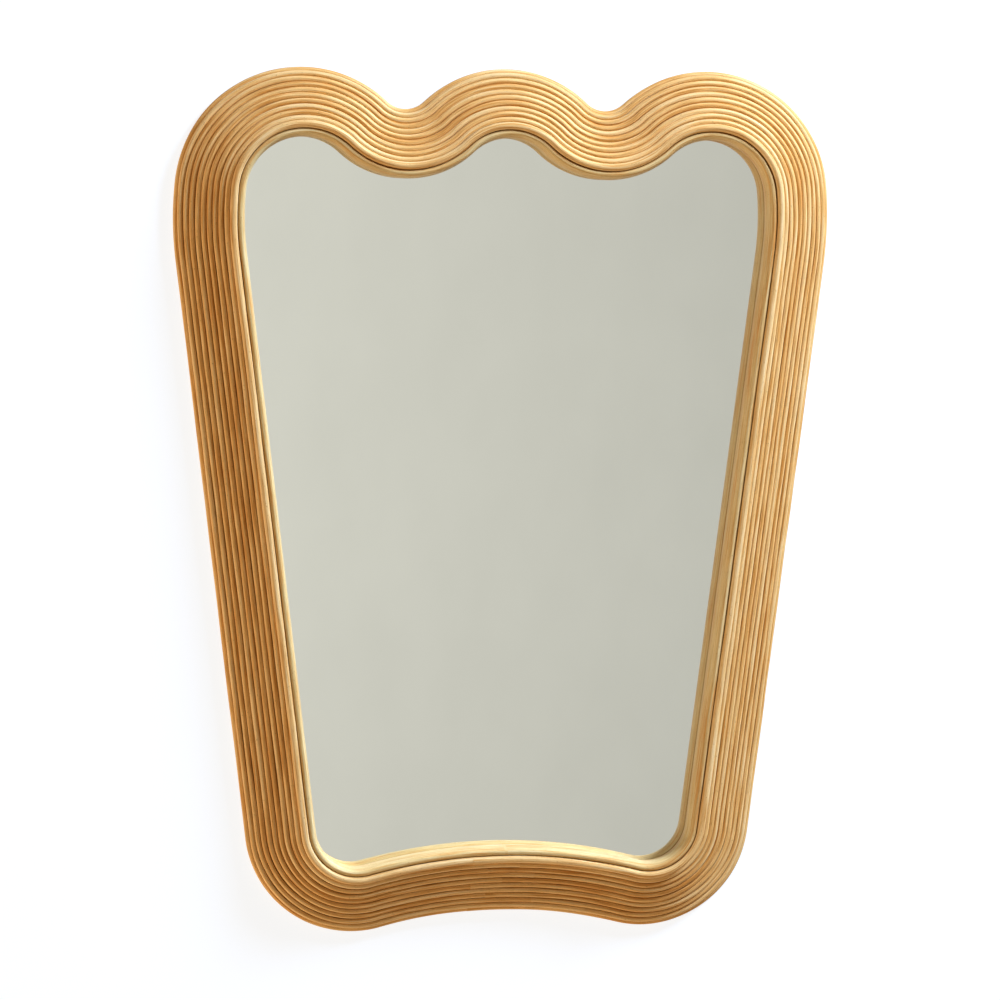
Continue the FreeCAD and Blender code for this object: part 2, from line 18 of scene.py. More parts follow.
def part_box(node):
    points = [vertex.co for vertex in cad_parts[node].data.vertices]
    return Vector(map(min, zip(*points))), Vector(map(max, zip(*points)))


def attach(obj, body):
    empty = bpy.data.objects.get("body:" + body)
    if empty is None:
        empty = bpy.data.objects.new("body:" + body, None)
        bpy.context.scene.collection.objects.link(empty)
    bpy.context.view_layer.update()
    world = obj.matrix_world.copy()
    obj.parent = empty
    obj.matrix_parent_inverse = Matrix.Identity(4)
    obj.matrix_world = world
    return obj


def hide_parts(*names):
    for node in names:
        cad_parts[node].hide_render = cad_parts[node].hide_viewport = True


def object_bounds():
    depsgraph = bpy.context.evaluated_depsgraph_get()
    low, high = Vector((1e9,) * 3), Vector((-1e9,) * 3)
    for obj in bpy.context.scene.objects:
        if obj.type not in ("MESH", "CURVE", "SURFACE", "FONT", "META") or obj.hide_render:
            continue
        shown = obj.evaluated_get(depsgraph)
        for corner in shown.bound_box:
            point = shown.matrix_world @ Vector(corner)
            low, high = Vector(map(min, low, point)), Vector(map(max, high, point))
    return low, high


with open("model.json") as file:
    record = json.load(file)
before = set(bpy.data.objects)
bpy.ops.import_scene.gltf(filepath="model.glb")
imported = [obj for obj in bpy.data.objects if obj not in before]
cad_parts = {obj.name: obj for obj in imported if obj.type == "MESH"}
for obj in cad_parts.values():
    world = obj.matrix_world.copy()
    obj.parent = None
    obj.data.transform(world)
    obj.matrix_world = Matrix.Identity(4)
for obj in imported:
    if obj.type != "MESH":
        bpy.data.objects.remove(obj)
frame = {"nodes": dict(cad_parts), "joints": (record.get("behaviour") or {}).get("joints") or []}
CAD_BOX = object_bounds()

Colour = tuple[float, float, float, float]
Triple = tuple[float, float, float]
Pair = tuple[float, float]
Corners = list[bmesh.types.BMVert]
Material = bpy.types.Material
Piece = bpy.types.Object
Socket = bpy.types.NodeSocket
Given = Socket | Vector | float | bool | str | tuple[float, ...]
log = logging.getLogger("wall_mirror")

FRONT = Vector((0.0, -1.0, 0.0))
MILLIMETRE = 0.001


class Body(Enum):
    """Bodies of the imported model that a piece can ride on."""

    FRAME = "frame"
    LEFT_RING = "left_ring"
    RIGHT_RING = "right_ring"


class Slot(Enum):
    """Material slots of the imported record."""

    REED = "reed"
    CREST = "crest"
    LIP = "lip"
    SCREW = "screw_steel"
    RING = "ring_steel"


class Hand(Enum):
    """The two hangers on the back."""

    LEFT = "left"
    RIGHT = "right"


@dataclass(frozen=True)
class Pattern:
    """Noise of a finish: its changes per metre along three axes, and how much finer noise it holds."""

    per_metre: Triple
    detail: float


@dataclass(frozen=True)
class Fade:
    """Range of a number and the range that it is carried to."""

    low: float
    high: float
    to_low: float = 0.0
    to_high: float = 1.0


class Graph:
    """Short way to write a node tree down."""

    def __init__(self, tree: bpy.types.NodeTree) -> None:
        """Start on a tree, keeping the nodes that it has."""
        self.tree = tree

    def put(self, kind: str, out: str | int = 0, inputs: dict[str | int, Given] | None = None,
            **settings: str | bool) -> Socket:
        """Add one node and feed it.

        Args:
            kind: Type name of the node.
            out: Identifier, name or index of the output to hand back.
            inputs: Sockets or plain values, by the index, identifier or name of the input.
            settings: Properties of the node, such as its operation.

        Returns:
            The chosen output socket.
        """
        node = self.tree.nodes.new(kind)
        for name, setting in settings.items():
            setattr(node, name, setting)
        self.feed(node, inputs or {})
        return self.socket(node.outputs, out)

    def feed(self, node: bpy.types.Node, inputs: dict[str | int, Given]) -> None:
        """Link sockets to a node's inputs, or set the inputs' own values.

        Args:
            node: Node to feed.
            inputs: Sockets or plain values, by the index, identifier or name of the input.
        """
        for name, given in inputs.items():
            target = self.socket(node.inputs, name)
            if isinstance(given, Socket):
                self.tree.links.new(given, target)
            else:
                target.default_value = given

    @staticmethod
    def socket(sockets: bpy.types.NodeInputs | bpy.types.NodeOutputs, name: str | int) -> Socket:
        """Find a socket.

        Args:
            sockets: Inputs or outputs of a node.
            name: The socket's index, its identifier or, where no identifier fits, its name.

        Returns:
            The socket.
        """
        if isinstance(name, int):
            return sockets[name]
        return next((one for one in sockets if one.identifier == name), None) or sockets[name]

    def math(self, operation: str, first: Given, second: Given = 0.0, clamp: bool = False) -> Socket:
        """One step of arithmetic on two numbers."""
        return self.put("ShaderNodeMath", inputs={0: first, 1: second}, operation=operation, use_clamp=clamp)

    def mixture(self, shares: list[tuple[Given, float]]) -> Socket:
        """Add numbers up, each times its share.

        Args:
            shares: Numbers with their shares.

        Returns:
            The sum.
        """
        total, *others = [self.math("MULTIPLY", number, share) for number, share in shares]
        for other in others:
            total = self.math("ADD", total, other)
        return total

    def vector(self, operation: str, first: Given, second: Given) -> Socket:
        """One step of arithmetic on two vectors."""
        return self.put("ShaderNodeVectorMath", inputs={0: first, 1: second}, operation=operation)

    def scaled(self, vector: Given, factor: Given) -> Socket:
        """A vector times a number."""
        return self.put("ShaderNodeVectorMath", inputs={0: vector, "Scale": factor}, operation="SCALE")

    def dot(self, first: Given, second: Given) -> Socket:
        """How far two vectors point the same way, as a number."""
        return self.put("ShaderNodeVectorMath", "Value", {0: first, 1: second}, operation="DOT_PRODUCT")

    def axis(self, vector: Given, name: str) -> Socket:
        """The X, Y or Z of a vector."""
        return self.put("ShaderNodeSeparateXYZ", name, {0: vector})

    def noise(self, where: Given, pattern: Pattern) -> Socket:
        """Noise over coordinates that a pattern stretches first."""
        placed = {"Vector": self.vector("MULTIPLY", where, pattern.per_metre)}
        return self.put("ShaderNodeTexNoise", "Fac", placed | {"Scale": 1.0, "Detail": pattern.detail})

    def spread(self, value: Given, fade: Fade) -> Socket:
        """Carry a number from one range to another, held at both ends."""
        ends = {"From Min": fade.low, "From Max": fade.high, "To Min": fade.to_low, "To Max": fade.to_high}
        return self.put("ShaderNodeMapRange", "Result", {"Value": value} | ends)

    def blend(self, share: Given, first: Given, second: Given, mode: str = "MIX") -> Socket:
        """Mix of two colours."""
        mixed = {"Factor_Float": share, "A_Color": first, "B_Color": second}
        return self.put("ShaderNodeMix", "Result_Color", mixed, data_type="RGBA", blend_type=mode)

    def relief(self, height: Given, distance: float, strength: float) -> Socket:
        """Surface direction that a height gives."""
        raised = {"Height": height, "Distance": distance, "Strength": strength}
        return self.put("ShaderNodeBump", "Normal", raised)


class GeometryRecipe(Graph):
    """Geometry Nodes tree with named inputs, run once on an object to give a plain mesh."""

    KINDS = {
        float: "NodeSocketFloat",
        int: "NodeSocketInt",
        Material: "NodeSocketMaterial",
        Piece: "NodeSocketObject",
    }

    def __init__(self, name: str, sizes: dict[str, type]) -> None:
        """Start a tree.

        Args:
            name: Name of the tree.
            sizes: Type of each named input, besides the geometry that comes first.
        """
        super().__init__(bpy.data.node_groups.new(name, "GeometryNodeTree"))
        face = self.tree.interface
        face.new_socket("Geometry", in_out="INPUT", socket_type="NodeSocketGeometry")
        face.new_socket("Geometry", in_out="OUTPUT", socket_type="NodeSocketGeometry")
        self.keys = {}
        for size, kind in sizes.items():
            self.keys[size] = face.new_socket(size, in_out="INPUT", socket_type=self.KINDS[kind]).identifier
        self.given = self.tree.nodes.new("NodeGroupInput").outputs

    def stepped(self, path: Socket) -> Socket:
        """A path with points at the spacing that the tree is given."""
        even = {"Curve": path, "Length": self.given["Spacing"]}
        return self.put("GeometryNodeResampleCurve", inputs=even, mode="LENGTH")

    def moved(self, path: Socket, inset: Given, lift: Given) -> Socket:
        """Move the points of a path inwards and out from the wall.

        Args:
            path: Curve that runs clockwise as the viewer sees it.
            inset: Way inwards, square to the path.
            lift: Way out from the wall.

        Returns:
            The moved curve.
        """
        inward = self.vector("CROSS_PRODUCT", self.put("GeometryNodeInputTangent"), FRONT)
        shift = self.vector("ADD", self.scaled(inward, inset), self.scaled(FRONT, lift))
        return self.put("GeometryNodeSetPosition", inputs={"Geometry": path, "Offset": shift})

    def upright(self, path: Socket) -> Socket:
        """A path whose section keeps its own X pointing away from the wall."""
        return self.put("GeometryNodeSetCurveNormal", inputs={"Curve": path, "Normal": FRONT}, mode="FREE")

    def circle(self) -> Socket:
        """Round section of the radius and the sides that the tree is given."""
        sizes = {"Resolution": self.given["Sides"], "Radius": self.given["Radius"]}
        return self.put("GeometryNodeCurvePrimitiveCircle", "Curve", sizes, mode="RADIUS")

    def keep(self, geometry: Socket, name: str, value: Given, kind: str = "FLOAT") -> Socket:
        """Store a named value on every point."""
        stored = {"Geometry": geometry, "Name": name, "Value": value}
        return self.put("GeometryNodeStoreNamedAttribute", inputs=stored, data_type=kind, domain="POINT")

    def recall(self, name: str, kind: str = "FLOAT") -> Socket:
        """Read a named value back."""
        return self.put("GeometryNodeInputNamedAttribute", "Attribute", {"Name": name}, data_type=kind)

    def smooth(self, geometry: Socket) -> Socket:
        """Shade a solid smoothly."""
        return self.put("GeometryNodeSetShadeSmooth", inputs={"Geometry": geometry})

    def finish(self, geometry: Socket) -> None:
        """Make the result real, give it its material and hand it out.

        Args:
            geometry: Result of the tree, which may hold instances.
        """
        solid = self.put("GeometryNodeRealizeInstances", inputs={"Geometry": geometry})
        dressed = {"Geometry": solid, "Material": self.given["Material"]}
        out = self.tree.nodes.new("NodeGroupOutput")
        self.feed(out, {0: self.put("GeometryNodeSetMaterial", inputs=dressed)})

    def run(self, name: str, data: bpy.types.ID, sizes: dict[str, float | bpy.types.ID]) -> Piece:
        """Run the tree on a curve or mesh.

        Args:
            name: Name of the finished piece.
            data: Curve or mesh that the tree starts from.
            sizes: Value of each named input.

        Returns:
            A new mesh object at the origin, with no modifier on it.
        """
        source = put_in_scene(f"{name}_source", data)
        modifier = source.modifiers.new("recipe", "NODES")
        modifier.node_group = self.tree
        for size, value in sizes.items():
            modifier[self.keys[size]] = value
        graph = bpy.context.evaluated_depsgraph_get()
        mesh = bpy.data.meshes.new_from_object(source.evaluated_get(graph), depsgraph=graph)
        source.modifiers.remove(modifier)
        bpy.data.objects.remove(source)
        mesh.name = name
        return put_in_scene(name, mesh)


def put_in_scene(name: str, data: bpy.types.ID) -> Piece:
    """Make an object at the origin and link it to the scene.

    Args:
        name: Name of the object.
        data: Its mesh, curve, lamp or camera.

    Returns:
        The object.
    """
    made = bpy.data.objects.new(name, data)
    bpy.context.scene.collection.objects.link(made)
    return made


def poly_curve(name: str, points: list[Vector], closed: bool) -> bpy.types.Curve:
    """Curve of straight steps through points.

    Args:
        name: Name of the curve.
        points: Its points in order.
        closed: Whether the last point joins the first.

    Returns:
        The curve's data.
    """
    curve = bpy.data.curves.new(name, "CURVE")
    curve.dimensions = "3D"
    spline = curve.splines.new("POLY")
    spline.points.add(len(points) - 1)
    for place, point in zip(spline.points, points):
        place.co = (*point, 1.0)
    spline.use_cyclic_u = closed
    return curve


def dress(piece: Piece, body: Body, slot: Slot, *nodes: str) -> None:
    """Let a piece ride on a body in place of CAD nodes.

    Args:
        piece: Finished mesh object.
        body: Body that it moves with.
        slot: Not used.
        nodes: CAD nodes that it stands for.
    """
    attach(piece, body.value)
    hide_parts(*nodes)
    log.info("%s: %d faces on %s", piece.name, len(piece.data.polygons), body.value)


def paint(node: str, material: Material) -> None:
    """Give a CAD node that stays in view its finish.

    Args:
        node: Name of the node.
        material: Its finish.
    """
    piece = frame["nodes"][node]
    piece.data.materials.clear()
    piece.data.materials.append(material)
    log.info("%s: kept, finished as %s", node, material.name)


def new_material(name: str) -> tuple[Material, Graph, bpy.types.Node]:
    """Start a material.

    Args:
        name: Name of the material.

    Returns:
        The material, its graph and its surface shader.
    """
    material = bpy.data.materials.new(name)
    material.use_nodes = True
    return material, Graph(material.node_tree), material.node_tree.nodes["Principled BSDF"]


@dataclass(frozen=True)
class ReedFinish:
    """Satin lacquered reed: strands of differing tone with fine lengthwise fibres, dark pores and painted
    shade in the grooves between strands.
    """

    name: str
    pale: Colour = (0.94, 0.680, 0.335, 1.0)
    honey: Colour = (0.86, 0.525, 0.190, 1.0)
    deep: Colour = (0.66, 0.305, 0.072, 1.0)
    pore_and_shade: Colour = (0.15, 0.048, 0.005, 1.0)
    cloud: Pattern = Pattern((7.0, 90.0, 90.0), 3.0)
    streak: Pattern = Pattern((22.0, 750.0, 750.0), 3.0)
    fibre: Pattern = Pattern((55.0, 3200.0, 3200.0), 4.0)
    dash: Pattern = Pattern((210.0, 4200.0, 4200.0), 1.0)
    speck: Pattern = Pattern((420.0, 900.0, 900.0), 0.0)
    tone_share: float = 0.28
    cloud_share: float = 0.8
    streak_share: float = 1.6
    level_drop: float = 0.79
    deep_to_honey: Fade = Fade(0.20, 0.52)
    honey_to_pale: Fade = Fade(0.52, 0.86)
    fibre_shade: Fade = Fade(0.32, 0.68, 0.78, 1.16)
    pores_shown: Fade = Fade(0.655, 0.74, 0.0, 0.55)
    specks_shown: Fade = Fade(0.80, 0.83, 0.0, 0.5)
    groove_shade_edge: Pair = (0.82, 0.98)
    groove_shade_depth: float = 0.86
    # Share of the painted groove shade kept on the waves at the top, where the grooves are lit, and the
    # heights where it fades
    groove_shade_on_waves: float = 0.26
    waves_from: Pair = (0.28, 0.37)
    roughness: float = 0.46
    wear: float = 0.07
    wear_edge: Pair = (0.3, 0.7)
    groove_shade_roughness: float = 0.4
    relief: float = 0.06 * MILLIMETRE
    relief_strength: float = 0.6
    pore_depth: float = 0.8
    gloss: float = 0.40
    gloss_tint: Colour = (1.0, 0.72, 0.36, 1.0)
    coat: float = 0.10
    coat_roughness: float = 0.34

    def material(self) -> Material:
        """Build the material from the grain, the tone and the painted shade of the grooves that each strand
        carries.

        Returns:
            The material.
        """
        material, graph, shader = new_material(self.name)
        grain = graph.put("ShaderNodeAttribute", "Vector", attribute_name="grain")
        tone = graph.put("ShaderNodeAttribute", "Fac", attribute_name="tone")
        groove = graph.put("ShaderNodeAttribute", "Fac", attribute_name="groove")
        cloud = graph.noise(grain, self.cloud)
        streak = graph.noise(grain, self.streak)
        fibre = graph.noise(grain, self.fibre)
        # Tone of the strand, drifting slowly along it and streaked by its fibres
        streaked = graph.mixture([
            (tone, self.tone_share), (cloud, self.cloud_share), (streak, self.streak_share)])
        level = graph.math("SUBTRACT", streaked, self.level_drop)
        lower = graph.blend(graph.spread(level, self.deep_to_honey), self.deep, self.honey)
        wood = graph.blend(graph.spread(level, self.honey_to_pale), lower, self.pale)
        fine = graph.spread(fibre, self.fibre_shade)
        grey = graph.put("ShaderNodeCombineColor", inputs={0: fine, 1: fine, 2: fine})
        lined = graph.blend(1.0, wood, grey, "MULTIPLY")
        pores = graph.spread(graph.noise(grain, self.dash), self.pores_shown)
        specks = graph.spread(graph.noise(grain, self.speck), self.specks_shown)
        # Painted shade darkens a strand where it meets its neighbours, and less of it is painted on the
        # waves at the top, where those grooves take the light
        shade_in_grooves = graph.spread(groove, Fade(*self.groove_shade_edge, 0.0, self.groove_shade_depth))
        up = graph.axis(graph.put("ShaderNodeTexCoord", "Object"), "Z")
        shade_share_by_height = graph.spread(up, Fade(*self.waves_from, 1.0, self.groove_shade_on_waves))
        groove_shade = graph.math("MULTIPLY", shade_in_grooves, shade_share_by_height)
        dark = graph.math("MAXIMUM", graph.math("MAXIMUM", pores, specks), groove_shade)
        worn = Fade(*self.wear_edge, self.roughness + self.wear, self.roughness - self.wear)
        roughness_in_shade = graph.math("MULTIPLY", groove_shade, self.groove_shade_roughness)
        height = graph.math("SUBTRACT", fibre, graph.math("MULTIPLY", dark, self.pore_depth))
        graph.feed(shader, {
            # Pores, specks and the painted groove shade all take the same dark colour
            "Base Color": graph.blend(dark, lined, self.pore_and_shade),
            "Roughness": graph.math("ADD", graph.spread(fibre, worn), roughness_in_shade),
            "Normal": graph.relief(height, self.relief, self.relief_strength),
            "Specular IOR Level": self.gloss,
            "Specular Tint": self.gloss_tint,
            "Coat Weight": self.coat,
            "Coat Roughness": self.coat_roughness,
        })
        return material


@dataclass(frozen=True)
class FibreboardFinish:
    """Pressed wood fibre: pale flecks and darker specks in a brown ground."""

    name: str
    ground: Colour
    fleck: Colour
    speck: Colour
    roughness: float
    cloud: Pattern = Pattern((9.0, 9.0, 9.0), 3.0)
    flecks: Pattern = Pattern((420.0, 420.0, 950.0), 4.0)
    specks: Pattern = Pattern((1100.0, 420.0, 460.0), 3.0)
    flecks_shown: Fade = Fade(0.42, 0.68)
    cloud_shade: Fade = Fade(0.3, 0.7, 0.35, 0.8)
    specks_shown: Fade = Fade(0.6, 0.74, 0.0, 0.7)
    wear: float = 0.08
    wear_edge: Pair = (0.3, 0.7)
    relief: float = 0.05 * MILLIMETRE
    relief_strength: float = 0.5

    def material(self) -> Material:
        """Build the material on the object's own coordinates.

        Returns:
            The material.
        """
        material, graph, shader = new_material(self.name)
        where = graph.put("ShaderNodeTexCoord", "Object")
        cloud = graph.spread(graph.noise(where, self.cloud), self.cloud_shade)
        flecks = graph.noise(where, self.flecks)
        specks = graph.spread(graph.noise(where, self.specks), self.specks_shown)
        shade = graph.math("MULTIPLY", graph.spread(flecks, self.flecks_shown), cloud)
        mottled = graph.blend(shade, self.ground, self.fleck)
        worn = Fade(*self.wear_edge, self.roughness + self.wear, self.roughness - self.wear)
        graph.feed(shader, {
            "Base Color": graph.blend(specks, mottled, self.speck),
            "Roughness": graph.spread(flecks, worn),
            "Normal": graph.relief(flecks, self.relief, self.relief_strength),
        })
        return material


@dataclass(frozen=True)
class SilveredGlassFinish:
    """Silvered float glass, clean but for the faintest veil of dust."""

    name: str
    silver: Colour = (0.93, 0.94, 0.915, 1.0)
    veil: Colour = (0.90, 0.91, 0.885, 1.0)
    dust: Pattern = Pattern((14.0, 14.0, 9.0), 5.0)
    veil_shown: Fade = Fade(0.35, 0.75)
    roughened: Fade = Fade(0.45, 0.8, 0.012, 0.035)

    def material(self) -> Material:
        """Build the material on the object's own coordinates.

        Returns:
            The material.
        """
        material, graph, shader = new_material(self.name)
        dust = graph.noise(graph.put("ShaderNodeTexCoord", "Object"), self.dust)
        graph.feed(shader, {
            "Base Color": graph.blend(graph.spread(dust, self.veil_shown), self.silver, self.veil),
            "Roughness": graph.spread(dust, self.roughened),
            "Metallic": 1.0,
        })
        return material


@dataclass(frozen=True)
class PlatedSteelFinish:
    """Plated steel with fine draw lines and a little clouding."""

    name: str
    bright: Colour
    dull: Colour
    roughness: float
    cloud: Pattern = Pattern((260.0, 260.0, 260.0), 3.0)
    lines: Pattern = Pattern((2600.0, 2600.0, 180.0), 2.0)
    cloud_share: float = 0.6
    line_share: float = 0.4
    dulled: Fade = Fade(0.35, 0.65)
    polish: float = 0.08
    wear: float = 0.12
    wear_edge: Pair = (0.3, 0.7)
    relief: float = 0.01 * MILLIMETRE
    relief_strength: float = 0.4

    def material(self) -> Material:
        """Build the material on the object's own coordinates.

        Returns:
            The material.
        """
        material, graph, shader = new_material(self.name)
        where = graph.put("ShaderNodeTexCoord", "Object")
        cloud = graph.noise(where, self.cloud)
        lines = graph.noise(where, self.lines)
        worn = graph.mixture([(cloud, self.cloud_share), (lines, self.line_share)])
        rougher = Fade(*self.wear_edge, self.roughness - self.polish, self.roughness + self.wear)
        graph.feed(shader, {
            "Base Color": graph.blend(graph.spread(worn, self.dulled), self.bright, self.dull),
            "Roughness": graph.spread(worn, rougher),
            "Normal": graph.relief(lines, self.relief, self.relief_strength),
            "Metallic": 1.0,
        })
        return material


@dataclass(frozen=True)
class Arc:
    """Part of a circle in a plane, cut into even steps."""

    centre: Vector
    radius: float
    start: float
    end: float
    steps: int

    def points(self) -> list[Pair]:
        """Points of the arc.

        Returns:
            Pairs from the start to the end, with both of them.
        """
        sweep = self.end - self.start
        angles = [self.start + sweep * index / self.steps for index in range(self.steps + 1)]
        x, y = self.centre
        return [(x + self.radius * math.cos(angle), y + self.radius * math.sin(angle)) for angle in angles]


def joined(arcs: list[Arc]) -> list[Pair]:
    """Line through arcs that run into one another.

    Args:
        arcs: Arcs in order, each from where the one before it ends.

    Returns:
        Points of the line, with one where two arcs meet.
    """
    points: list[Pair] = []
    for arc in arcs:
        points[-1:] = arc.points()
    return points


def heading(start: Vector, end: Vector) -> float:
    """Angle of the way from one place in a plane to another."""
    return math.atan2(end.y - start.y, end.x - start.x)


@dataclass(frozen=True)
class Outline:
    """The frame's outermost edge: arcs that run into one another, the same on both sides."""

    height: float = 0.918
    lobe_radius: float = 0.127
    valley_radius: float = 0.029
    wave_depth: float = 0.043
    corner_radius: float = 0.134
    bow_radius: float = 0.385
    bow_angle: float = math.radians(5.0)
    foot_radius: float = 0.1165
    foot_spread: float = 0.316
    arch_rise: float = 0.020
    point_spacing: float = 0.0015
    least_steps: int = 4
    joint_search: int = 8

    def wave_run(self, radius: float) -> float:
        """Sideways distance from a crest's centre to the valley's centre."""
        total = radius + self.valley_radius
        return math.sqrt(total ** 2 - (total - self.wave_depth) ** 2)

    @property
    def arch_radius(self) -> float:
        """Radius of the hollow arch between the feet.

        Returns:
            The radius at which the arch runs into both feet.
        """
        rise = self.foot_radius - self.arch_rise
        spread = self.foot_spread / 2
        return (spread ** 2 + rise ** 2 - self.foot_radius ** 2) / (2 * self.arch_rise)

    def arc(self, centre: Vector, radius: float, start: float, end: float) -> Arc:
        """Arc of the outline, in steps that suit every course.

        Args:
            centre: Its centre, X and Z.
            radius: Its radius at the outermost edge.
            start: Angle where it starts.
            end: Angle where it ends.

        Returns:
            The arc.
        """
        # A valley opens out as the courses move inwards, so its steps are finer at the edge
        widest = max(radius, self.lobe_radius)
        steps = math.ceil(abs(end - start) * widest / self.point_spacing)
        return Arc(centre, radius, start, end, max(self.least_steps, steps))

    def right_side(self) -> list[Pair]:
        """Points from the middle of the top, down the right side, to the middle of the bottom.

        Returns:
            Pairs of X and Z, evenly spaced along each arc.
        """
        top = self.height / 2
        lobe = Vector((0.0, top - self.lobe_radius))
        valley = Vector((self.wave_run(self.lobe_radius), top - self.wave_depth + self.valley_radius))
        corner = Vector((valley.x + self.wave_run(self.corner_radius), top - self.corner_radius))
        lean = Vector((math.cos(self.bow_angle), math.sin(self.bow_angle)))
        bow = corner - lean * (self.bow_radius - self.corner_radius)
        foot = Vector((self.foot_spread / 2, self.foot_radius - top))
        arch = Vector((0.0, self.arch_rise - self.arch_radius - top))
        narrowing = (self.foot_radius - self.bow_radius) / (bow - foot).length
        facing = heading(foot, bow) - math.acos(narrowing)
        quarter = math.pi / 2
        return joined([
            self.arc(lobe, self.lobe_radius, quarter, heading(lobe, valley)),
            self.arc(valley, self.valley_radius, heading(valley, lobe), heading(valley, corner)),
            self.arc(corner, self.corner_radius, heading(corner, valley), self.bow_angle),
            self.arc(bow, self.bow_radius, self.bow_angle, facing),
            self.arc(foot, self.foot_radius, facing, heading(foot, arch)),
            self.arc(arch, self.arch_radius, heading(arch, foot), quarter),
        ])

    def loop(self, joint: float) -> list[Vector]:
        """The whole outline, clockwise as the viewer sees it, from a place in the bottom arch.

        Args:
            joint: X of the place where it starts.

        Returns:
            Points that end just before the starting place.
        """
        right = self.right_side()
        left = [(-across, up) for across, up in reversed(right)]
        ring = left[:-1] + right[:-1]
        count = len(ring)
        # Close to the middle of the arch the points run from right to left
        near = range(-count // self.joint_search, count // self.joint_search)
        first = next(index for index in near if ring[index % count][0] <= joint)
        (near_x, near_z), (far_x, far_z) = ring[first % count], ring[(first - 1) % count]
        share = (joint - near_x) / (far_x - near_x)
        start = (joint, near_z + share * (far_z - near_z))
        run = [start] + [ring[(first + index) % count] for index in range(count)]
        return [Vector((across, 0.0, up)) for across, up in run]


@dataclass(frozen=True)
class Course:
    """One reed of the frame: where it runs and where it touches its neighbours."""

    piece: str
    node: str
    inset: float
    lift: float
    radius: float
    number: int
    slot: Slot
    inner_contact: float
    outer_contact: float


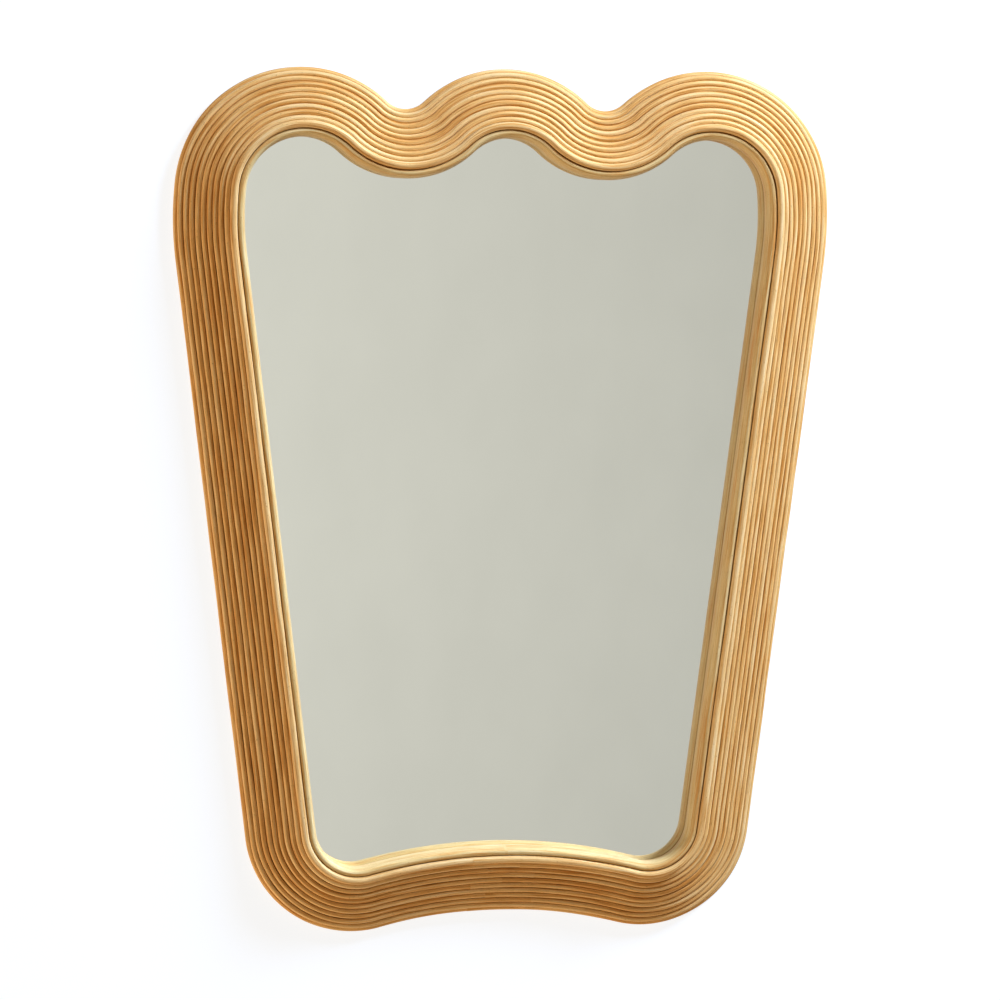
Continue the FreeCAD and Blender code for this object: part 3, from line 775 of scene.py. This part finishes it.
@dataclass
class ReedFrame:
    """The wound frame: the reed by the wall, the face reeds up the bevel, the crest and the lip."""

    outline: Outline = field(default_factory=Outline)
    reed_radius: float = 0.00325
    crest_radius: float = 0.0040
    glue_gap: float = 0.0001
    wall_clearance: float = 0.0003
    under_angle: float = math.radians(54.0)
    lip_contact: float = math.radians(-12.0)
    bevel_angle: float = math.radians(28.5)
    face_count: int = 9
    butt_gap: float = 0.00004
    butt_step: float = 0.017
    butt_cycle: int = 5
    butt_hop: int = 2
    lip_foot: float = 0.0066
    lip_nose_radius: float = 0.0033
    lip_face_radius: float = 0.040
    lip_drop: float = 0.0022
    lip_base: float = 0.0083
    lip_groove_shade_width: float = 0.0090
    lip_foot_shade_width: float = 0.0145
    lip_tone: float = 0.55
    ring_spacing: float = 0.003
    outer_shade_share: float = 0.86
    sides: int = 24
    arc_steps: int = 14
    swell: float = 0.04
    wander: float = 0.00024
    swell_rhythm: Pair = (6.0, 83.0)
    wander_in_rhythm: Pair = (9.0, 11.0)
    wander_out_rhythm: Pair = (7.0, 47.0)
    drift_range: Fade = Fade(0.25, 0.75, -1.0, 1.0)
    noise_per_strand: float = 3.7
    first_tone: float = 0.31
    tone_step: float = (math.sqrt(5.0) - 1) / 2
    sharp_angle: float = math.radians(50.0)

    def courses(self) -> list[Course]:
        """Work out the places of all the reeds.

        Returns:
            The courses from the wall up the bevel, with the crest last.
        """
        radius, below, slope = self.reed_radius, self.under_angle, self.bevel_angle
        pitch = 2 * radius + self.glue_gap
        inset, lift = radius, self.wall_clearance + radius
        found = [Course("reed_by_wall", "under_reed", inset, lift, radius, 0, Slot.REED, below, below)]
        inset += pitch * math.cos(below)
        lift += pitch * math.sin(below)
        for number in range(1, self.face_count + 1):
            piece, node = f"reed_course_{number}", f"face_reed_{number}"
            outer = math.pi + (below if number == 1 else slope)
            found.append(Course(piece, node, inset, lift, radius, number, Slot.REED, slope, outer))
            inset += pitch * math.cos(slope)
            lift += pitch * math.sin(slope)
        last = found[-1]
        rise = self.crest_radius - radius
        run = math.sqrt((self.crest_radius + radius + self.glue_gap) ** 2 - rise ** 2)
        inset = last.inset + run * math.cos(slope) - rise * math.sin(slope)
        lift = last.lift + run * math.sin(slope) + rise * math.cos(slope)
        found.append(Course(
            "reed_crest", "crest_reed", inset, lift, self.crest_radius, self.face_count + 1, Slot.CREST,
            self.lip_contact, math.pi + slope))
        return found

    def drift(self, recipe: GeometryRecipe, place: Socket, rhythm: Pair, reach: Socket) -> Socket:
        """Slow random change along a strand.

        Args:
            recipe: Tree that it is part of.
            place: Place along the strand, in a stretch of the noise that is its own.
            rhythm: Changes per metre, and where in the noise they start.
            reach: Furthest that the change goes to either side.

        Returns:
            The change at each point.
        """
        per_metre, start = rhythm
        where = recipe.math("ADD", recipe.math("MULTIPLY", place, per_metre), start)
        noise = {"W": where, "Scale": 1.0, "Detail": 1.0}
        rough = recipe.put("ShaderNodeTexNoise", "Fac", noise, noise_dimensions="1D")
        return recipe.math("MULTIPLY", recipe.spread(rough, self.drift_range), reach)

    @staticmethod
    def nearness(recipe: GeometryRecipe, contact: Socket) -> Socket:
        """How far each point of a round section lies towards a contact.

        Args:
            recipe: Tree that it is part of, with the section's radius.
            contact: Angle of the contact, up from the way inwards.

        Returns:
            A share of the radius, 1 at the contact.
        """
        ways = {0: recipe.math("SINE", contact), 1: recipe.math("COSINE", contact)}
        towards = recipe.put("ShaderNodeCombineXYZ", inputs=ways)
        reach = recipe.dot(recipe.put("GeometryNodeInputPosition"), towards)
        return recipe.math("DIVIDE", reach, recipe.given["Radius"])

    def reed_recipe(self) -> GeometryRecipe:
        """Write the tree that bends one reed along the outline, with its swell, wander and butted ends.

        Returns:
            The tree, to run on an open outline.
        """
        sizes = {
            "Inset": float, "Lift": float, "Radius": float, "Sides": int, "Spacing": float, "Gap": float,
            "Swell": float, "Wander": float, "Inner Contact": float, "Outer Contact": float,
            "Tone": float, "Seed": float, "Material": Material,
        }
        recipe = GeometryRecipe("bent_reed", sizes)
        given = recipe.given
        path = recipe.moved(given["Geometry"], given["Inset"], given["Lift"])
        half_gap = recipe.math("MULTIPLY", given["Gap"], 0.5)
        length = recipe.put("GeometryNodeCurveLength", inputs={"Curve": path})
        ends = {"Curve": path, "Start_001": half_gap, "End_001": recipe.math("SUBTRACT", length, half_gap)}
        path = recipe.stepped(recipe.put("GeometryNodeTrimCurve", inputs=ends, mode="LENGTH"))
        along = recipe.put("GeometryNodeSplineParameter", "Length")
        place = recipe.math("ADD", along, recipe.math("MULTIPLY", given["Seed"], self.noise_per_strand))
        sway_in = self.drift(recipe, place, self.wander_in_rhythm, given["Wander"])
        sway_out = self.drift(recipe, place, self.wander_out_rhythm, given["Wander"])
        path = recipe.moved(path, sway_in, sway_out)
        path = recipe.keep(path, "place", place)
        swell = self.drift(recipe, place, self.swell_rhythm, given["Swell"])
        path = recipe.upright(recipe.keep(path, "girth", recipe.math("ADD", swell, 1.0)))
        # Painted shade: the groove value marks where the material darkens a strand beside its neighbours,
        # less towards the outer one
        outer = self.nearness(recipe, given["Outer Contact"])
        outer = recipe.math("MULTIPLY", outer, self.outer_shade_share)
        groove = recipe.math("MAXIMUM", self.nearness(recipe, given["Inner Contact"]), outer)
        recipe.finish(self.carry(recipe, path, recipe.circle(), recipe.recall("girth"), groove))
        return recipe

    @staticmethod
    def carry(recipe: GeometryRecipe, path: Socket, section: Socket, girth: Given, groove: Socket) -> Socket:
        """Carry a section along a path, with the grain that its material reads.

        Args:
            recipe: Tree that it is part of.
            path: Curve whose points hold their place along the strand.
            section: Closed curve of the section.
            girth: Scale of the section at each point.
            groove: Nearness of each point of the section to a neighbour, 1 where they touch.

        Returns:
            The smooth solid.
        """
        section = recipe.keep(section, "groove", groove)
        section = recipe.keep(section, "across", recipe.put("GeometryNodeInputPosition"), "FLOAT_VECTOR")
        swept = {"Curve": path, "Profile Curve": section, "Scale": girth, "Fill Caps": True}
        solid = recipe.smooth(recipe.put("GeometryNodeCurveToMesh", inputs=swept))
        across = recipe.recall("across", "FLOAT_VECTOR")
        ways = {0: recipe.recall("place"), 1: recipe.axis(across, "X"), 2: recipe.axis(across, "Y")}
        solid = recipe.keep(solid, "grain", recipe.put("ShaderNodeCombineXYZ", inputs=ways), "FLOAT_VECTOR")
        return recipe.keep(solid, "tone", recipe.given["Tone"])

    def lip_section(self, nose_lift: float) -> list[Vector]:
        """Section of the lip: a flat back and foot, a bowed face and a round nose beside the crest.

        Args:
            nose_lift: Lift of the nose's centre above the foot.

        Returns:
            Points from the nose to the foot: the lift above the foot as X, the way from the back as Y.
        """
        nose = Vector((nose_lift, self.lip_nose_radius))
        foot = Vector((0.0, self.lip_foot))
        span = (foot - nose).length
        down = (foot - nose) / span
        reach = self.lip_face_radius - self.lip_nose_radius
        along = (span ** 2 + reach ** 2 - self.lip_face_radius ** 2) / (2 * span)
        bow = nose + down * along + Vector((-down.y, down.x)) * math.sqrt(reach ** 2 - along ** 2)
        meeting = heading(bow, nose)
        line = joined([
            Arc(nose, self.lip_nose_radius, -math.pi / 2, meeting, self.arc_steps),
            Arc(bow, self.lip_face_radius, meeting, heading(bow, foot), self.arc_steps),
        ])
        return [Vector((lift, across, 0.0)) for lift, across in line] + [Vector((0.0, 0.0, 0.0))]

    def lip_recipe(self) -> GeometryRecipe:
        """Write the tree that carries the lip's section round the inside of the frame.

        Returns:
            The tree, to run on a closed outline.
        """
        sizes = {
            "Inset": float, "Lift": float, "Section": Piece, "Spacing": float, "Stain": float,
            "Foot": float, "Tone": float, "Material": Material,
        }
        recipe = GeometryRecipe("bowed_lip", sizes)
        given = recipe.given
        path = recipe.stepped(recipe.moved(given["Geometry"], given["Inset"], given["Lift"]))
        path = recipe.keep(path, "place", recipe.put("GeometryNodeSplineParameter", "Length"))
        section = recipe.put("GeometryNodeObjectInfo", "Geometry", {"Object": given["Section"]})
        around = recipe.put("GeometryNodeInputPosition")
        # Painted shade: the groove value darkens the lip along its back beside the crest and along its foot
        # by the glass
        edge = recipe.math("DIVIDE", recipe.axis(around, "Y"), given["Stain"])
        foot = recipe.math("DIVIDE", recipe.axis(around, "X"), given["Foot"])
        groove = recipe.math("SUBTRACT", 1.0, recipe.math("MINIMUM", edge, foot))
        recipe.finish(self.carry(recipe, recipe.upright(path), section, 1.0, groove))
        return recipe

    def seat(self, piece: Piece, slot: Slot, node: str) -> None:
        """Keep the edges of a strand's ends crisp and let it ride on the frame."""
        piece.data.set_sharp_from_angle(angle=self.sharp_angle)
        dress(piece, Body.FRAME, slot, node)

    def build_reeds(self, courses: list[Course], reed: Material, crest: Material) -> None:
        """Make every strand, with its butt joint in the bottom arch.

        Args:
            courses: Places of the reeds.
            reed: Finish of the wall reed and the face reeds.
            crest: Finish of the crest.
        """
        recipe = self.reed_recipe()
        arch = self.outline.arch_radius
        for course in courses:
            steps = (course.number * self.butt_hop) % self.butt_cycle - self.butt_cycle // 2
            path = self.outline.loop(steps * self.butt_step * arch / (arch + course.inset))
            sizes = {
                "Inset": course.inset, "Lift": course.lift, "Radius": course.radius, "Sides": self.sides,
                "Spacing": self.ring_spacing, "Gap": self.butt_gap,
                "Swell": self.swell, "Wander": self.wander,
                "Inner Contact": course.inner_contact, "Outer Contact": course.outer_contact,
                "Tone": (course.number * self.tone_step + self.first_tone) % 1.0,
                "Seed": float(course.number + 1), "Material": crest if course.slot is Slot.CREST else reed,
            }
            piece = recipe.run(course.piece, poly_curve(course.piece, path + path[:1], False), sizes)
            self.seat(piece, course.slot, course.node)

    def build_lip(self, top: Course, finish: Material) -> None:
        """Make the lip on the inside of the crest.

        Args:
            top: Course of the crest.
            finish: Finish of the lip.
        """
        nose_lift = top.lift + self.crest_radius - self.lip_drop - self.lip_nose_radius
        profile = poly_curve("lip_section", self.lip_section(nose_lift - self.lip_base), True)
        section = put_in_scene("lip_section", profile)
        sizes = {
            "Inset": top.inset + self.crest_radius + self.glue_gap, "Lift": self.lip_base,
            "Section": section, "Spacing": self.ring_spacing, "Stain": self.lip_groove_shade_width,
            "Foot": self.lip_foot_shade_width, "Tone": self.lip_tone, "Material": finish,
        }
        piece = self.lip_recipe().run("lip_bowed", poly_curve("lip", self.outline.loop(0.0), True), sizes)
        bpy.data.objects.remove(section)
        self.seat(piece, Slot.LIP, "inner_lip")

    def build(self, reed: Material, crest: Material, lip: Material) -> None:
        """Make every strand and the lip, and let them ride on the frame.

        Args:
            reed: Finish of the wall reed and the face reeds.
            crest: Finish of the crest.
            lip: Finish of the lip.
        """
        courses = self.courses()
        self.build_reeds(courses, reed, crest)
        self.build_lip(courses[-1], lip)


@dataclass
class HangingRings:
    """The two wire rings on the back, each hanging from its strap's barrel."""

    wire_radius: float = 0.0013
    half_width: float = 0.0095
    corner_radius: float = 0.0035
    sides: int = 20
    arc_steps: int = 24
    spacing: float = 0.0004

    def path(self, bar: Vector) -> list[Vector]:
        """Closed line of one ring's wire.

        Args:
            bar: Middle of the ring's bar.

        Returns:
            Points of the wire's centre line.
        """
        reach, drop = self.half_width - self.corner_radius, -self.corner_radius
        quarter = math.pi / 2
        line = joined([
            Arc(Vector((reach, drop)), self.corner_radius, quarter, 0.0, self.arc_steps),
            Arc(Vector((0.0, drop)), self.half_width, 0.0, -math.pi, self.arc_steps),
            Arc(Vector((-reach, drop)), self.corner_radius, math.pi, quarter, self.arc_steps),
        ])
        return [bar + Vector((across, 0.0, up)) for across, up in line]

    def recipe(self) -> GeometryRecipe:
        """Write the tree that runs a round wire along a closed line.

        Returns:
            The tree, to run on the wire's centre line.
        """
        sizes = {"Radius": float, "Sides": int, "Spacing": float, "Material": Material}
        recipe = GeometryRecipe("wire_ring", sizes)
        swept = {"Curve": recipe.stepped(recipe.given["Geometry"]), "Profile Curve": recipe.circle()}
        recipe.finish(recipe.smooth(recipe.put("GeometryNodeCurveToMesh", inputs=swept)))
        return recipe

    def build(self, steel: Material) -> None:
        """Make both rings from the places of their joints.

        Args:
            steel: Finish of the rings.
        """
        recipe = self.recipe()
        sizes = {"Radius": self.wire_radius, "Sides": self.sides, "Spacing": self.spacing, "Material": steel}
        for joint in frame["joints"]:
            hand = Hand(joint["child"].removesuffix("_ring")).value
            line = poly_curve(f"{hand}_wire", self.path(Vector(joint["pos_m"])), True)
            piece = recipe.run(f"ring_{hand}", line, sizes)
            dress(piece, Body(joint["child"]), Slot.RING, f"{hand}_hanger_ring")


@dataclass
class ScrewGroup:
    """A group of equal flat-headed screws with cross recesses, driven into the back."""

    piece: str
    node: str
    head_radius: float
    head_height: float
    shank_radius: float
    recess_depth_share: float = 0.6
    recess_reach_share: float = 0.62
    recess_half_width_share: float = 0.13
    recess_floor_share: float = 0.55
    rim_share: float = 0.16
    rim_round_share: float = 0.3
    tip_length_share: float = 2.0
    tip_radius_share: float = 0.2
    rim_sides: int = 32
    face_tolerance: float = 0.0004
    group_reach: float = 0.008
    seed: int = 5

    def places(self) -> list[Vector]:
        """Find the screws of the node.

        Returns:
            Middle of each head's outer face.
        """
        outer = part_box(self.node)[1].y
        groups: list[list[Vector]] = []
        for vertex in frame["nodes"][self.node].data.vertices:
            corner = vertex.co.copy()
            if abs(corner.y - outer) >= self.face_tolerance:
                continue
            near = next((group for group in groups if (group[0] - corner).length < self.group_reach), None)
            if near is None:
                groups.append([corner])
            else:
                near.append(corner)
        middles = []
        for group in groups:
            low = Vector(min(corner[axis] for corner in group) for axis in range(3))
            high = Vector(max(corner[axis] for corner in group) for axis in range(3))
            middles.append((low + high) / 2)
        return middles

    def ring(self, shape: bmesh.types.BMesh, radius: float, depth: float) -> Corners:
        """Add a circle of points.

        Args:
            shape: Mesh that is being made.
            radius: Radius of the circle.
            depth: Its way in from the head's outer face.

        Returns:
            The points in order.
        """
        turn = 2 * math.pi / self.rim_sides
        angles = [turn * index for index in range(self.rim_sides)]
        spots = [(radius * math.cos(angle), -depth, radius * math.sin(angle)) for angle in angles]
        return [shape.verts.new(spot) for spot in spots]

    def cross(self, shape: bmesh.types.BMesh, scale: float, depth: float) -> Corners:
        """Add the twelve corners of the recess at one depth.

        Args:
            shape: Mesh that is being made.
            scale: Reach of the arms as a share of their reach at the mouth.
            depth: Way in from the head's outer face.

        Returns:
            The corners in order.
        """
        arm = self.head_radius * self.recess_reach_share * scale
        half = self.head_radius * self.recess_half_width_share * (1 + scale) / 2
        quadrant = [(arm, -half), (arm, half), (half, half)]
        corners = []
        for _ in range(4):
            corners += [shape.verts.new((x, -depth, z)) for x, z in quadrant]
            quadrant = [(-z, x) for x, z in quadrant]
        return corners

    @staticmethod
    def skin(shape: bmesh.types.BMesh, first: Corners, second: Corners) -> None:
        """Add the faces between two loops of as many points.

        Args:
            shape: Mesh that is being made.
            first: Points of one loop.
            second: Points of the other.
        """
        for index, corner in enumerate(first):
            after = (index + 1) % len(first)
            shape.faces.new((corner, first[after], second[after], second[index]))

    def screw_mesh(self, length: float) -> bpy.types.Mesh:
        """One screw with its head's outer face at the origin, driven towards -Y.

        Args:
            length: From the outer face to the tip.

        Returns:
            A closed mesh.
        """
        shape = bmesh.new()
        rim = self.rim_share * self.head_height
        rounding = self.rim_round_share * rim
        profile = [
            (self.head_radius - rim, 0.0),
            (self.head_radius - rounding, rounding),
            (self.head_radius, rim),
            (self.head_radius, self.head_height),
            (self.shank_radius, self.head_height),
            (self.shank_radius, length - self.tip_length_share * self.shank_radius),
            (self.tip_radius_share * self.shank_radius, length),
        ]
        loops = [self.ring(shape, radius, depth) for radius, depth in profile]
        for first, second in zip(loops, loops[1:]):
            self.skin(shape, first, second)
        shape.faces.new(loops[-1])
        mouth = self.cross(shape, 1.0, 0.0)
        floor = self.cross(shape, self.recess_floor_share, self.recess_depth_share * self.head_height)
        self.skin(shape, mouth, floor)
        shape.faces.new(floor)
        # The outer face lies between the rim and the mouth of the recess
        sides = [ends for loop in (loops[0], mouth) for ends in zip(loop, loop[1:] + loop[:1])]
        edges = [shape.edges.get(ends) for ends in sides]
        bmesh.ops.triangle_fill(shape, use_beauty=True, edges=edges)
        bmesh.ops.recalc_face_normals(shape, faces=shape.faces)
        mesh = bpy.data.meshes.new(f"{self.piece}_one")
        shape.to_mesh(mesh)
        shape.free()
        return mesh

    def recipe(self) -> GeometryRecipe:
        """Write the tree that sets one screw on every point, each turned its own way.

        Returns:
            The tree, to run on a mesh of points.
        """
        sizes = {"Screw": Piece, "Seed": int, "Material": Material}
        recipe = GeometryRecipe(f"{self.piece}_set", sizes)
        given = recipe.given
        turns = {"Min_001": 0.0, "Max_001": math.pi / 2, "Seed": given["Seed"]}
        turn = recipe.put("FunctionNodeRandomValue", "Value_001", turns, data_type="FLOAT")
        facing = recipe.put("ShaderNodeCombineXYZ", inputs={1: turn})
        one = recipe.put("GeometryNodeObjectInfo", "Geometry", {"Object": given["Screw"]})
        dots = recipe.put("GeometryNodeMeshToPoints", inputs={"Mesh": given["Geometry"]})
        driven = {"Points": dots, "Instance": one, "Rotation": facing}
        recipe.finish(recipe.put("GeometryNodeInstanceOnPoints", inputs=driven))
        return recipe

    def build(self, steel: Material) -> None:
        """Make the group in place of its CAD node.

        Args:
            steel: Finish of the screws.
        """
        low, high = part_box(self.node)
        one = put_in_scene(f"{self.piece}_pattern", self.screw_mesh(high.y - low.y))
        dots = bpy.data.meshes.new(f"{self.piece}_places")
        dots.from_pydata(self.places(), [], [])
        piece = self.recipe().run(self.piece, dots, {"Screw": one, "Seed": self.seed, "Material": steel})
        bpy.data.objects.remove(one)
        dress(piece, Body.FRAME, Slot.SCREW, self.node)


@dataclass(frozen=True)
class Viewpoint:
    """Camera of the picture: a long lens a little to the left of the mirror and above its middle."""

    lens_mm: float = 158.4
    azimuth: float = math.radians(-10.5)
    elevation: float = math.radians(4.5)
    roll: float = math.radians(0.53)
    distance: float = 4.69
    aim: Triple = (0.0, -0.004, -0.002)
    aim_right: float = -0.0021
    aim_up: float = 0.0039

    def build(self) -> None:
        """Make the camera and put the scene on it."""
        level = math.cos(self.elevation)
        across, away = math.sin(self.azimuth) * level, -math.cos(self.azimuth) * level
        back = Vector((across, away, math.sin(self.elevation)))
        right = Vector((math.cos(self.azimuth), math.sin(self.azimuth), 0.0))
        up = back.cross(right)
        place = Vector(self.aim) + right * self.aim_right + up * self.aim_up + back * self.distance
        side = right * math.cos(self.roll) + up * math.sin(self.roll)
        top = up * math.cos(self.roll) - right * math.sin(self.roll)
        data = bpy.data.cameras.new("viewpoint")
        data.lens = self.lens_mm
        camera = put_in_scene("viewpoint", data)
        camera.matrix_world = Matrix.Translation(place) @ Matrix((side, top, back)).transposed().to_4x4()
        bpy.context.scene.camera = camera


@dataclass(frozen=True)
class Studio:
    """White wall and floor, a soft key from the upper right and a warm fill from the lower left."""

    key_from: Triple = (0.660, -0.330, 0.675)
    key_level: float = 1.62
    key_colour: Triple = (0.92, 1.035, 1.22)
    key_distance: float = 4.5
    key_width: float = 1.5
    glow: Colour = (3.2, 3.1, 2.9, 1.0)
    glow_edge: Fade = Fade(0.78, 0.97)
    side_glow: Colour = (0.92, 0.91, 0.88, 1.0)
    side_edge: Fade = Fade(-0.35, -0.9)
    rear_glow: Colour = (0.80, 0.79, 0.76, 1.0)
    rear_edge: Fade = Fade(0.35, 0.80)
    room: Colour = (0.34, 0.335, 0.32, 1.0)
    fill_from: Triple = (-0.797, 0.05, -0.602)
    fill_level: float = 2.24
    fill_least: float = 0.07
    fill_focus: float = 2.0
    fill_colour: Colour = (1.0, 0.735, 0.485, 1.0)
    panel_light: Colour = (0.77, 0.76, 0.68, 1.0)
    panel_dark: Colour = (0.49, 0.485, 0.435, 1.0)
    panel_turn: Fade = Fade(0.06, 0.30)
    panel_towards: Triple = (0.19, -0.978, -0.08)
    panel_edge: Fade = Fade(0.93, 0.975)
    panel_low: Fade = Fade(-0.18, -0.09, 0.93, 1.0)
    wall_glow: float = 0.838
    wall_matt: Colour = (0.25, 0.31, 0.41, 1.0)
    wall_gap: float = 0.0006
    wall_reach: float = 3.0
    floor_drop: float = 0.45

    def white_paint(self) -> Material:
        """White that takes the object's shadow and shows only from its painted side.

        Returns:
            The material.
        """
        material = bpy.data.materials.new("white_paint")
        material.use_nodes = True
        graph = Graph(material.node_tree)
        graph.tree.nodes.clear()
        glow = graph.put("ShaderNodeEmission", inputs={"Strength": self.wall_glow})
        matt = graph.put("ShaderNodeBsdfDiffuse", inputs={"Color": self.wall_matt})
        painted = graph.put("ShaderNodeAddShader", inputs={0: glow, 1: matt})
        seen = graph.put("ShaderNodeLightPath", "Is Camera Ray")
        behind = graph.put("ShaderNodeNewGeometry", "Backfacing")
        shown = graph.math("SUBTRACT", seen, behind, clamp=True)
        clear = graph.put("ShaderNodeBsdfTransparent")
        surface = graph.put("ShaderNodeMixShader", inputs={0: shown, 1: clear, 2: painted})
        graph.feed(graph.tree.nodes.new("ShaderNodeOutputMaterial"), {"Surface": surface})
        return material

    def sheet(self, name: str, corners: list[Vector], white: Material) -> None:
        """One flat piece of the stage, facing the way its corners turn.

        Args:
            name: Name of the piece.
            corners: Its corners in order.
            white: Its paint.
        """
        mesh = bpy.data.meshes.new(name)
        mesh.from_pydata(corners, [], [tuple(range(len(corners)))])
        mesh.materials.append(white)
        piece = put_in_scene(name, mesh)

    def surroundings(self, graph: Graph, way: Socket) -> Socket:
        """What the glass and the gloss show: a pale panel in front, and a room with glows round it.

        Args:
            graph: Graph of the world.
            way: Direction that is looked in.

        Returns:
            The background.
        """
        across = graph.axis(way, "X")
        around = graph.blend(graph.spread(across, self.side_edge), self.room, self.side_glow)
        around = graph.blend(graph.spread(graph.axis(way, "Y"), self.rear_edge), around, self.rear_glow)
        near_key = graph.dot(way, self.key_from)
        around = graph.blend(graph.spread(near_key, self.glow_edge), around, self.glow)
        panel = graph.blend(graph.spread(across, self.panel_turn), self.panel_light, self.panel_dark)
        inside = graph.spread(graph.dot(way, self.panel_towards), self.panel_edge)
        shade = graph.spread(graph.axis(way, "Z"), self.panel_low)
        seen = {"Color": graph.blend(inside, around, panel), "Strength": shade}
        return graph.put("ShaderNodeBackground", inputs=seen)

    def surround(self) -> None:
        """World: a soft fill for the object, the surroundings for its gloss and white behind everything."""
        world = bpy.data.worlds.new("studio")
        world.use_nodes = True
        bpy.context.scene.world = world
        graph = Graph(world.node_tree)
        graph.tree.nodes.clear()
        way = graph.put("ShaderNodeTexCoord", "Generated")
        near_fill = graph.math("MAXIMUM", graph.dot(way, self.fill_from), 0.0)
        soft = graph.math("MULTIPLY", graph.math("POWER", near_fill, self.fill_focus), self.fill_level)
        level = graph.math("ADD", soft, self.fill_least)
        fill = graph.put("ShaderNodeBackground", inputs={"Color": self.fill_colour, "Strength": level})
        white = graph.put("ShaderNodeBackground")
        glossy = graph.put("ShaderNodeLightPath", "Is Glossy Ray")
        camera = graph.put("ShaderNodeLightPath", "Is Camera Ray")
        room = self.surroundings(graph, way)
        mixed = graph.put("ShaderNodeMixShader", inputs={0: glossy, 1: fill, 2: room})
        mixed = graph.put("ShaderNodeMixShader", inputs={0: camera, 1: mixed, 2: white})
        graph.feed(graph.tree.nodes.new("ShaderNodeOutputWorld"), {"Surface": mixed})

    def key_lamp(self) -> None:
        """Make the key, a soft disk that the camera doesn't see."""
        lamp = bpy.data.lights.new("key", "AREA")
        lamp.shape = "DISK"
        lamp.size = self.key_width
        lamp.color = self.key_colour
        # At this power a white matt surface that faces the key shows the level
        lamp.energy = (math.pi * self.key_distance) ** 2 * self.key_level
        key = put_in_scene("key", lamp)
        key.visible_camera = False
        key.location = Vector(self.key_from) * self.key_distance
        key.rotation_mode = "QUATERNION"
        key.rotation_quaternion = Vector(self.key_from).to_track_quat("Z", "Y")

    def build(self) -> None:
        """Make the wall, the floor, the key and the world."""
        white = self.white_paint()
        reach = self.wall_reach
        floor = CAD_BOX[0].z - self.floor_drop
        behind = CAD_BOX[1].y + self.wall_gap
        left, right = Vector((-reach, behind, floor)), Vector((reach, behind, floor))
        up, out = Vector((0.0, 0.0, reach - floor)), FRONT * (2 * reach)
        self.sheet("wall", [left, right, right + up, left + up], white)
        self.sheet("floor", [left + out, right + out, right, left], white)
        self.key_lamp()
        self.surround()
        bpy.context.scene.view_settings.view_transform = "Standard"


def main() -> None:
    """Build every sub-assembly in order."""
    logging.basicConfig(level=logging.INFO, format="%(message)s")
    # Dark colour of the pores and of the painted shade in the crest's and the lip's grooves
    crest_lip_pore_and_shade = (0.32, 0.120, 0.012, 1.0)
    reed = ReedFinish("reed")
    crest = ReedFinish(
        "crest_reed", pale=(0.95, 0.73, 0.40, 1.0), honey=(0.88, 0.59, 0.25, 1.0), pore_and_shade=crest_lip_pore_and_shade,
        groove_shade_on_waves=1.0)
    lip = ReedFinish(
        "bowed_lip", pale=(0.80, 0.655, 0.355, 1.0), honey=(0.74, 0.535, 0.228, 1.0), pore_and_shade=crest_lip_pore_and_shade,
        groove_shade_depth=0.85, groove_shade_on_waves=1.0)
    ReedFrame().build(reed.material(), crest.material(), lip.material())

    nickel = PlatedSteelFinish(
        "nickel_plate", bright=(0.72, 0.70, 0.66, 1.0), dull=(0.52, 0.50, 0.47, 1.0), roughness=0.24)
    HangingRings().build(nickel.material())
    zinc = PlatedSteelFinish(
        "zinc_plate", bright=(0.66, 0.64, 0.58, 1.0), dull=(0.42, 0.40, 0.36, 1.0), roughness=0.34)
    board_screws = ScrewGroup(
        "screws_board", "board_screws", head_radius=0.0030, head_height=0.0014, shank_radius=0.0015)
    hanger_screws = ScrewGroup(
        "screws_hanger", "hanger_screws", head_radius=0.0032, head_height=0.0015, shank_radius=0.0016,
        seed=8)
    zinc_plate = zinc.material()
    board_screws.build(zinc_plate)
    hanger_screws.build(zinc_plate)

    former = FibreboardFinish(
        "raw_fibreboard", ground=(0.42, 0.28, 0.15, 1.0), fleck=(0.55, 0.40, 0.24, 1.0),
        speck=(0.22, 0.13, 0.06, 1.0), roughness=0.72)
    hardboard = FibreboardFinish(
        "hardboard", ground=(0.24, 0.13, 0.065, 1.0), fleck=(0.33, 0.195, 0.10, 1.0),
        speck=(0.11, 0.055, 0.025, 1.0), roughness=0.48)
    paint("bevel_former", former.material())
    paint("backing_board", hardboard.material())
    paint("mirror_pane", SilveredGlassFinish("silvered_glass").material())
    strap = PlatedSteelFinish(
        "strap_plate", bright=(0.70, 0.68, 0.64, 1.0), dull=(0.50, 0.48, 0.45, 1.0), roughness=0.30)
    strap_plate = strap.material()
    for hand in Hand:
        paint(f"{hand.value}_hanger_strap", strap_plate)

    Studio().build()
    Viewpoint().build()


if __name__ == "__main__":
    main()
